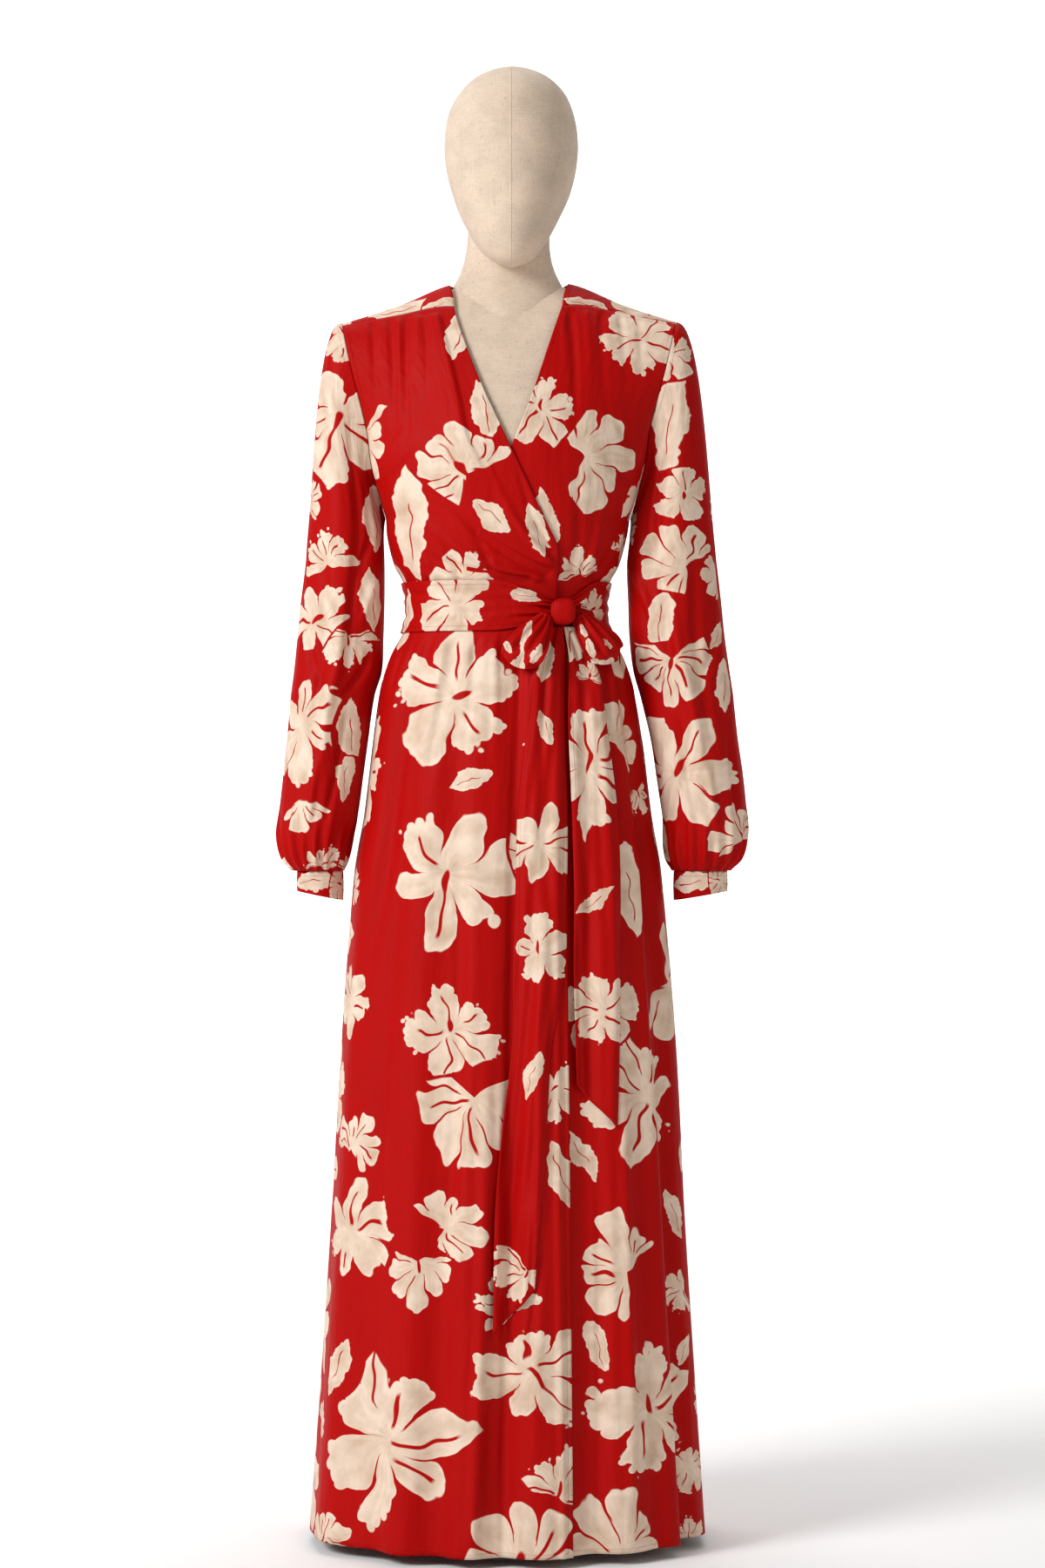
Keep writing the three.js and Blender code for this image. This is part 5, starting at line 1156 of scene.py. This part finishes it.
# Each piece's motifs on its front: kind, x, z, size, turn in degrees, and seed
PRINT = {
    "skirt_front_right": (
        ("bloom", -71, 1004, 91, 20, 13), ("orchid", -67, 789, 96, 250, 27),
        ("bloom", -68, 611, 59, 110, 31), ("fan", -42, 514, 71, 270, 44), ("fan", -180, 487, 43, 60, 52),
        ("bloom", -190, 640, 46, 200, 66), ("fan", -66, 392, 44, 30, 22), ("fan", -108, 328, 47, 265, 75),
        ("orchid", -190, 371, 68, 20, 18), ("orchid", -140, 136, 98, 80, 84),
        ("spray", -8, 304, 46, 120, 37), ("bloom", 24, 218, 68, 320, 59), ("fan", 12, 26, 82, 90, 61),
        ("spray", 58, 104, 50, 75, 11), ("fan", -218, 28, 39, 60, 29), ("leaf", 60, 445, 46, 290, 48),
        ("bloom", 48, 540, 39, 45, 73), ("spray", -185, 778, 26, 20, 33), ("bloom", 33, 819, 52, 100, 25),
        ("leaf", -205, 215, 39, 250, 62), ("leaf", -48, 905, 29, 20, 55), ("spray", 40, 935, 33, 200, 41),
    ),
    "skirt_front_left": (
        ("fan", 126, 960, 46, 60, 32), ("leaf", 141, 771, 59, 95, 51), ("orchid", 156, 530, 80, 130, 26),
        ("fan", 116, 347, 62, 150, 72), ("bloom", 166, 168, 82, 100, 43), ("fan", 127, 33, 71, 85, 16),
        ("leaf", 192, 392, 33, 110, 39), ("spray", 194, 304, 31, 200, 64), ("bloom", 210, 98, 33, 30, 82),
        ("spray", 206, 20, 26, 80, 21), ("leaf", 204, 232, 22, 60, 57), ("bloom", 104, 637, 48, 20, 69),
        ("spray", 150, 880, 26, 300, 19), ("leaf", 82, 470, 33, 300, 24), ("leaf", 100, 250, 33, 110, 77),
    ),
    "bodice_front_right": (
        ("fan", -66, 1279, 59, 135, 23), ("leaf", -117, 1203, 68, 85, 46),
        ("orchid", -58, 1140, 46, 60, 54), ("leaf", -34, 1334, 43, 100, 14),
        ("leaf", -62, 1432, 39, 80, 67), ("leaf", -24, 1212, 33, 320, 35), ("leaf", 28, 1195, 33, 110, 71),
    ),
    "bodice_front_left": (
        ("bloom", 35, 1334, 50, 80, 63), ("fan", 104, 1280, 58, 5, 34), ("leaf", 38, 1208, 39, 105, 22),
        ("spray", 77, 1154, 29, 100, 81), ("bloom", 152, 1425, 46, 200, 17),
        ("spray", 130, 1180, 24, 60, 49),
    ),
    "yoke": (
        ("leaf", -130, 1461, 46, 20, 36), ("leaf", -92, 1462, 33, 30, 53),
        ("bloom", 156, 1444, 52, 330, 29), ("leaf", 90, 1464, 33, 340, 74),
    ),
    "sleeve_right": (
        ("bloom", -180, 1427, 38, 120, 38), ("bloom", -203, 1326, 76, 250, 65),
        ("spray", -220, 1174, 41, 100, 12), ("bloom", -234, 1095, 52, 40, 47),
        ("leaf", -162, 1216, 43, 85, 76), ("leaf", -164, 1120, 41, 95, 21),
        ("orchid", -245, 968, 64, 90, 56), ("spray", -193, 1062, 39, 270, 33),
        ("leaf", -191, 962, 41, 95, 85), ("leaf", -196, 908, 33, 80, 15), ("spray", -227, 812, 24, 90, 68),
        ("spray", -190, 802, 22, 60, 26),
    ),
    "sleeve_left": (
        ("leaf", 189, 1326, 62, 80, 42), ("bloom", 203, 1243, 36, 300, 79), ("fan", 190, 1166, 50, 150, 24),
        ("leaf", 178, 1092, 42, 85, 58), ("fan", 186, 1030, 56, 270, 31), ("spray", 239, 1142, 29, 170, 66),
        ("leaf", 252, 1016, 33, 80, 13), ("orchid", 193, 908, 75, 60, 83), ("fan", 268, 845, 41, 110, 27),
        ("leaf", 176, 833, 29, 100, 45), ("leaf", 243, 1073, 20, 60, 36), ("bloom", 184, 1404, 37, 30, 52),
    ),
    "belt": (
        ("bloom", -66, 1107, 50, 200, 44), ("leaf", -122, 1100, 30, 80, 54),
        ("spray", 100, 1108, 26, 45, 61), ("leaf", 14, 1119, 20, 350, 22),
    ),
    "tie_right": (
        ("leaf", 38, 1040, 26, 70, 33), ("orchid", 36, 830, 55, 80, 62), ("bloom", 34, 706, 46, 100, 19),
        ("spray", 14, 330, 39, 250, 73), ("leaf", 40, 965, 22, 110, 47), ("leaf", 22, 560, 29, 70, 59),
    ),
    "tie_left": (
        ("orchid", 93, 915, 71, 90, 51), ("spray", 92, 1030, 20, 80, 23), ("bloom", 102, 640, 48, 250, 86),
        ("leaf", 98, 765, 26, 40, 32),
    ),
    "bow_loop_right": (
        ("leaf", 7, 1034, 25, 335, 26), ("leaf", 27, 1048, 15, 60, 44), ("leaf", -6, 1058, 11, 300, 31),
    ),
    "bow_loop_left": (
        ("leaf", 106, 1037, 19, 25, 55), ("leaf", 92, 1056, 14, 290, 47), ("leaf", 84, 1078, 10, 290, 18),
    ),
    "cuff_right": (
        ("leaf", -236, 783, 33, 5, 34), ("bloom", -206, 779, 24, 10, 61),
    ),
    "cuff_left": (
        ("leaf", 212, 783, 31, 10, 75), ("bloom", 246, 786, 24, 160, 29),
    ),
}

# The size each piece was cut to, its share of that rectangle, and how it is held
FLATS = {
    "yoke": (0.42, 0.26, 0.55, "stretched"),
    "bodice_front_right": (0.34, 0.44, 0.62, "draped"),
    "bodice_front_left": (0.30, 0.44, 0.60, "draped"),
    "bodice_back": (0.36, 0.32, 0.85, "draped"),
    "sleeve_right": (0.46, 0.62, 0.80, "gathered"),
    "sleeve_left": (0.46, 0.62, 0.80, "gathered"),
    "cuff_right": (0.20, 0.035, None, "hung"),
    "cuff_left": (0.22, 0.035, None, "hung"),
    "skirt_front_right": (0.42, 1.10, 0.85, "hung"),
    "skirt_front_left": (0.42, 1.10, 0.85, "hung"),
    "skirt_back": (0.64, 1.10, 0.80, "hung"),
    "belt": (0.75, 0.065, None, "folded"),
    "bow_knot": (0.085, 0.034, None, "folded"),
    "bow_loop_right": (0.16, 0.04, None, "folded"),
    "bow_loop_left": (0.17, 0.038, None, "folded"),
    "tie_right": (0.055, 0.83, None, "hung"),
    "tie_left": (0.05, 0.60, None, "hung"),
}


def material(name, make, *more):
    """A material that is made only once"""
    return bpy.data.materials.get(name) or make(*more)


def add_cloth(node, point, columns, rows, closed=False, **more):
    """One cloth piece in place of its solid"""
    colours = bpy.context.scene.dress_colours
    cloth = Cloth(node + "_cloth", point, columns, rows, closed, **more)
    seed = bpy.context.scene.dress_sizes.seed + sorted(FLATS).index(node)
    motifs = [motif(*row) for row in PRINT.get(node, ())]
    piece = cloth.build(motifs, material("flower_print", flower_print, colours), seed)
    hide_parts(node)
    return piece


def skirt_front(side):
    """One front of the skirt: u runs between its side seam and its wrap edge, v up"""
    edge = OVER_SKIRT_EDGE if side == RIGHT else UNDER_SKIRT_EDGE

    def point(u, v):
        side_angle = side * np.pi / 2
        hem = HEM_Z + HEM_RISE * np.sin(lerp(side_angle, 0.3, u if side == RIGHT else 1 - u)) ** 2
        z = lerp(hem, WAIST_Z - SEAM_GAP / 2, v)
        front = front_angle(lerp(edge[0], edge[1], z / WAIST_Z), z)
        phi = lerp(side_angle, front, u) if side == RIGHT else lerp(front, side_angle, u)
        lift = 0.0
        if side == LEFT:
            past = ring_point(phi, z)[..., 0] - lerp(OVER_SKIRT_EDGE[0], OVER_SKIRT_EDGE[1], z / WAIST_Z)
            lift = -SKIRT_LAP * (1 - ease(past / LAP_BLEND))
        return skirt_point(phi, z, lift) + np.array([0, -SEAM_GAP / 2, 0])

    return point


def skirt_back_point(u, v):
    """The back of the skirt: u runs from its left side seam to its right one, v up"""
    phi = lerp(np.pi / 2, np.pi * 1.5, u)
    z = lerp(HEM_Z + HEM_RISE * np.sin(phi) ** 2, WAIST_Z - SEAM_GAP / 2, v)
    return skirt_point(phi, z) + np.array([0, SEAM_GAP / 2, 0])


class DRESS_OT_bodice(bpy.types.Operator):
    """Yoke, two wrap fronts and the back above the waist"""

    bl_idname = "dress.bodice"
    bl_label = "Bodice and yoke"

    def execute(self, context):
        add_cloth("bodice_front_right", wrap_front(RIGHT, bodice_fold), 84, 110)
        add_cloth("bodice_front_left", wrap_front(LEFT, under_fold), 84, 110)
        add_cloth("bodice_back", bodice_back_point, 110, 84)
        add_cloth("yoke", yoke_point, 200, 30)
        return {"FINISHED"}


class DRESS_OT_sleeves(bpy.types.Operator):
    """Balloon sleeves, gathered into their cuffs"""

    bl_idname = "dress.sleeves"
    bl_label = "Sleeves and cuffs"

    def execute(self, context):
        add_cloth("sleeve_right", sleeve_point(RIGHT_SLEEVE, RIGHT), 128, 170, closed=True)
        add_cloth("sleeve_left", sleeve_point(LEFT_SLEEVE, LEFT), 128, 170, closed=True)
        add_cloth("cuff_right", cuff_point(RIGHT), 72, 12, closed=True, wall=CUFF_WALL)
        add_cloth("cuff_left", cuff_point(LEFT), 72, 12, closed=True, wall=CUFF_WALL)
        return {"FINISHED"}


class DRESS_OT_skirt(bpy.types.Operator):
    """The over skirt, the under skirt and the back"""

    bl_idname = "dress.skirt"
    bl_label = "Skirt"

    def execute(self, context):
        add_cloth("skirt_front_right", skirt_front(RIGHT), 150, 190)
        add_cloth("skirt_front_left", skirt_front(LEFT), 150, 190)
        add_cloth("skirt_back", skirt_back_point, 190, 170)
        return {"FINISHED"}


class DRESS_OT_sash(bpy.types.Operator):
    """The sash, its bow and its free ends"""

    bl_idname = "dress.sash"
    bl_label = "Sash and bow"

    def execute(self, context):
        add_cloth("belt", belt_point, 240, 44, closed=True)
        add_cloth("bow_knot", knot_point, 48, 30, closed=True, wall=1.6, hidden=2)
        for side, name in ((RIGHT, "right"), (LEFT, "left")):
            add_cloth("bow_loop_" + name, loop_point(LOOPS[side]), 24, 72, hidden=2)
        add_cloth("tie_right", tie_point(TIES[RIGHT], RIGHT, 1.5), 26, 200)
        add_cloth("tie_left", tie_point(TIES[LEFT], LEFT, 1.3), 26, 150)
        return {"FINISHED"}


def loft(rings):
    """Vertices and faces of a closed solid through rings of points, from the bottom up"""
    rings = np.asarray(rings)
    levels, count = rings.shape[:2]
    vertices = [tuple(point) for point in (rings.reshape(-1, 3) / 1000)]
    faces = []
    for level in range(levels - 1):
        for i in range(count):
            low, high, after = level * count, (level + 1) * count, (i + 1) % count
            faces.append((low + i, low + after, high + after, high + i))
    for level, turned in ((0, True), (levels - 1, False)):
        middle = len(vertices)
        vertices.append(tuple(rings[level].mean(axis=0) / 1000))
        for i in range(count):
            pair = (level * count + i, level * count + (i + 1) % count)
            faces.append((pair[1], pair[0], middle) if turned else (pair[0], pair[1], middle))
    return vertices, faces


def form_ring(rise, count):
    """One ring of the form above the underarm, with its rounded armhole ends"""
    ring = []
    stump = math.radians(FORM_STUMP_DEGREES)
    for i in range(count):
        phi = math.tau * i / count
        is_back = math.cos(phi) < 0
        from_side = math.pi / 2 - abs(math.asin(math.sin(phi)))
        side = -1 if math.sin(phi) < 0 else 1
        if from_side < stump:
            end = torso_point(side, rise, False, FORM_INSET)
            share = math.sin(math.pi / 2 * from_side / stump) * (1 if is_back else -1)
            bulge = FORM_STUMP * (-end[1] / ARMHOLE_DEPTH) * math.sqrt(1 - share * share)
            ring.append((end[0] + side * bulge, -end[1] * share, end[2]))
        else:
            ring.append(tuple(torso_point(math.sin(phi) / math.cos(stump), rise, is_back, FORM_INSET)))
    return ring


def form_parts():
    """Rings of the form's torso, of its neck and of its head"""
    phi = np.linspace(0, math.tau, FORM_POINTS, endpoint=False)
    torso = []
    for z in np.concatenate([np.linspace(FORM.rows[0][0], 800, 9), np.linspace(812, UNDERARM_Z, 40)]):
        depth = np.where(np.cos(phi) >= 0, -FORM.read("front", "z", z), FORM.read("back", "z", z))
        x = FORM.read("centre", "z", z) + FORM.read("half", "z", z) * np.sin(phi)
        torso.append(stack(x, depth * ring_fullness(np.sin(phi)), z))
    for rise in (*np.linspace(0.04, 0.9, 36), 0.93, 0.95, 0.97):
        torso.append(np.array(form_ring(rise, FORM_POINTS)))
    yield torso
    for table, steps in ((NECK, 44), (HEAD, 70)):
        rings = []
        for place in np.linspace(0, len(table.rows) - 1, steps):
            read = {key: float(table.read(key, "place", place)) for key in table.names}
            x = read["centre"] + read["half"] * np.sin(phi)
            rings.append(stack(x, read["y"] - read["depth"] * np.cos(phi), read["z"]))
        yield rings


class DRESS_OT_form(bpy.types.Operator):
    """The linen form with its egg head, and the finish of its stand"""

    bl_idname = "dress.form"
    bl_label = "Display form"

    def execute(self, context):
        vertices, faces = [], []
        for rings in form_parts():
            start = len(vertices)
            more_vertices, more_faces = loft(rings)
            vertices += more_vertices
            faces += [tuple(start + i for i in face) for face in more_faces]
        mesh = bpy.data.meshes.new("form_cover")
        mesh.from_pydata(vertices, [], faces)
        mesh.polygons.foreach_set("use_smooth", [True] * len(faces))
        mesh.materials.append(material("linen_cover", linen_cover, context.scene.dress_colours))
        piece = bpy.data.objects.new("form_cover", mesh)
        context.collection.objects.link(piece)
        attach(piece, "root")
        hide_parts("form_body")
        for node in ("form_pole", "form_base"):
            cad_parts[node].material_slots[0].material = material("coated_steel", coated_steel)
        return {"FINISHED"}


# The floor and the wall that it bends up into, in metres
FLOOR = {"half": 14.0, "bend": 8.5, "radius": 2.5, "top": 12.0, "steps": 12}
CAMERA_PLACE, SENSOR_WIDTH = (0.0125, -4.68, 0.899), 36

# Each lamp's place, target, size, the stage's power that it takes, its share of it, and colour
LAMPS = {
    "key_light": ((-3.1, -2.7, 2.9), (0, 0, 0.95), 1.8, "key", 1, (1, 1, 1)),
    "fill_light": ((3.2, -3.0, 1.6), (0, 0, 0.9), 2.6, "fill", 1, (1, 0.8, 0.62)),
    "floor_light": ((0, 1.8, 5.2), (0, 5.4, 1.6), 4.0, "backdrop", 1, (1, 1, 1)),
    "backdrop_light": ((0, 6.2, 6.0), (0, 10.5, 1.5), 5.0, "backdrop", 3.2, (1, 1, 1)),
}


def area_light(name, place, target, size, power, colour):
    """A round soft lamp that looks at its target"""
    light = bpy.data.lights.new(name, "AREA")
    light.shape, light.size, light.energy, light.color = "DISK", size, power, colour
    lamp = bpy.data.objects.new(name, light)
    lamp.location = place
    lamp.rotation_euler = (Vector(target) - Vector(place)).to_track_quat("-Z", "Y").to_euler()
    bpy.context.collection.objects.link(lamp)


class DRESS_OT_stage(bpy.types.Operator):
    """Pale floor that runs up behind, soft lights and the camera"""

    bl_idname = "dress.stage"
    bl_label = "Stage"

    def execute(self, context):
        stage = context.scene.dress_stage
        half, bend, radius = FLOOR["half"], FLOOR["bend"], FLOOR["radius"]
        profile = [(-half, 0.0), (bend, 0.0)]
        for step in range(1, FLOOR["steps"] + 1):
            angle = math.pi / 2 * step / FLOOR["steps"]
            profile.append((bend + radius * math.sin(angle), radius - radius * math.cos(angle)))
        profile.append((bend + radius, FLOOR["top"]))
        vertices = [(x, y, z) for y, z in profile for x in (-half, half)]
        faces = [(2 * i, 2 * i + 1, 2 * i + 3, 2 * i + 2) for i in range(len(profile) - 1)]
        mesh = bpy.data.meshes.new("pale_floor")
        mesh.from_pydata(vertices, [], faces)
        mesh.polygons.foreach_set("use_smooth", [True] * len(faces))
        mesh.materials.append(pale_floor())
        floor = bpy.data.objects.new("pale_floor", mesh)
        context.collection.objects.link(floor)
        for name, (place, target, size, power, share, colour) in LAMPS.items():
            area_light(name, place, target, size, getattr(stage, power) * share, colour)
        world = bpy.data.worlds.new("white_room")
        world.use_nodes = True
        world.node_tree.nodes["Background"].inputs[0].default_value = (1, 1, 1, 1)
        world.node_tree.nodes["Background"].inputs[1].default_value = stage.sky
        context.scene.world = world
        context.scene.view_settings.view_transform = "Standard"
        data = bpy.data.cameras.new("camera")
        data.lens, data.sensor_width = stage.lens, SENSOR_WIDTH
        camera = bpy.data.objects.new("camera", data)
        camera.location = CAMERA_PLACE
        camera.rotation_euler = (math.pi / 2, 0, 0)
        context.collection.objects.link(camera)
        context.scene.camera = camera
        return {"FINISHED"}


class DRESS_PT_panel(bpy.types.Panel):
    """Lists the pieces of the dress"""

    bl_label = "Wrap dress"
    bl_idname = "DRESS_PT_panel"
    bl_space_type = "VIEW_3D"
    bl_region_type = "UI"
    bl_category = "Dress"

    def draw(self, context):
        for group in (context.scene.dress_sizes, context.scene.dress_colours, context.scene.dress_stage):
            for name in group.__annotations__:
                self.layout.prop(group, name)
        for operator in OPERATORS:
            self.layout.operator(operator.bl_idname)


OPERATORS = (
    DRESS_OT_stage, DRESS_OT_skirt, DRESS_OT_bodice, DRESS_OT_sleeves, DRESS_OT_sash, DRESS_OT_form,
)
GROUPS = {"dress_sizes": DressSizes, "dress_colours": DressColours, "dress_stage": DressStage}


def register():
    for group in GROUPS.values():
        bpy.utils.register_class(group)
    for name, group in GROUPS.items():
        setattr(bpy.types.Scene, name, PointerProperty(type=group))
    for operator in (*OPERATORS, DRESS_PT_panel):
        bpy.utils.register_class(operator)


def unregister():
    for operator in reversed((*OPERATORS, DRESS_PT_panel)):
        bpy.utils.unregister_class(operator)
    for name, group in GROUPS.items():
        delattr(bpy.types.Scene, name)
        bpy.utils.unregister_class(group)


def main():
    register()
    bpy.ops.dress.stage()
    bpy.ops.dress.skirt()
    bpy.ops.dress.bodice()
    bpy.ops.dress.sleeves()
    bpy.ops.dress.sash()
    bpy.ops.dress.form()


if __name__ == "__main__":
    main()
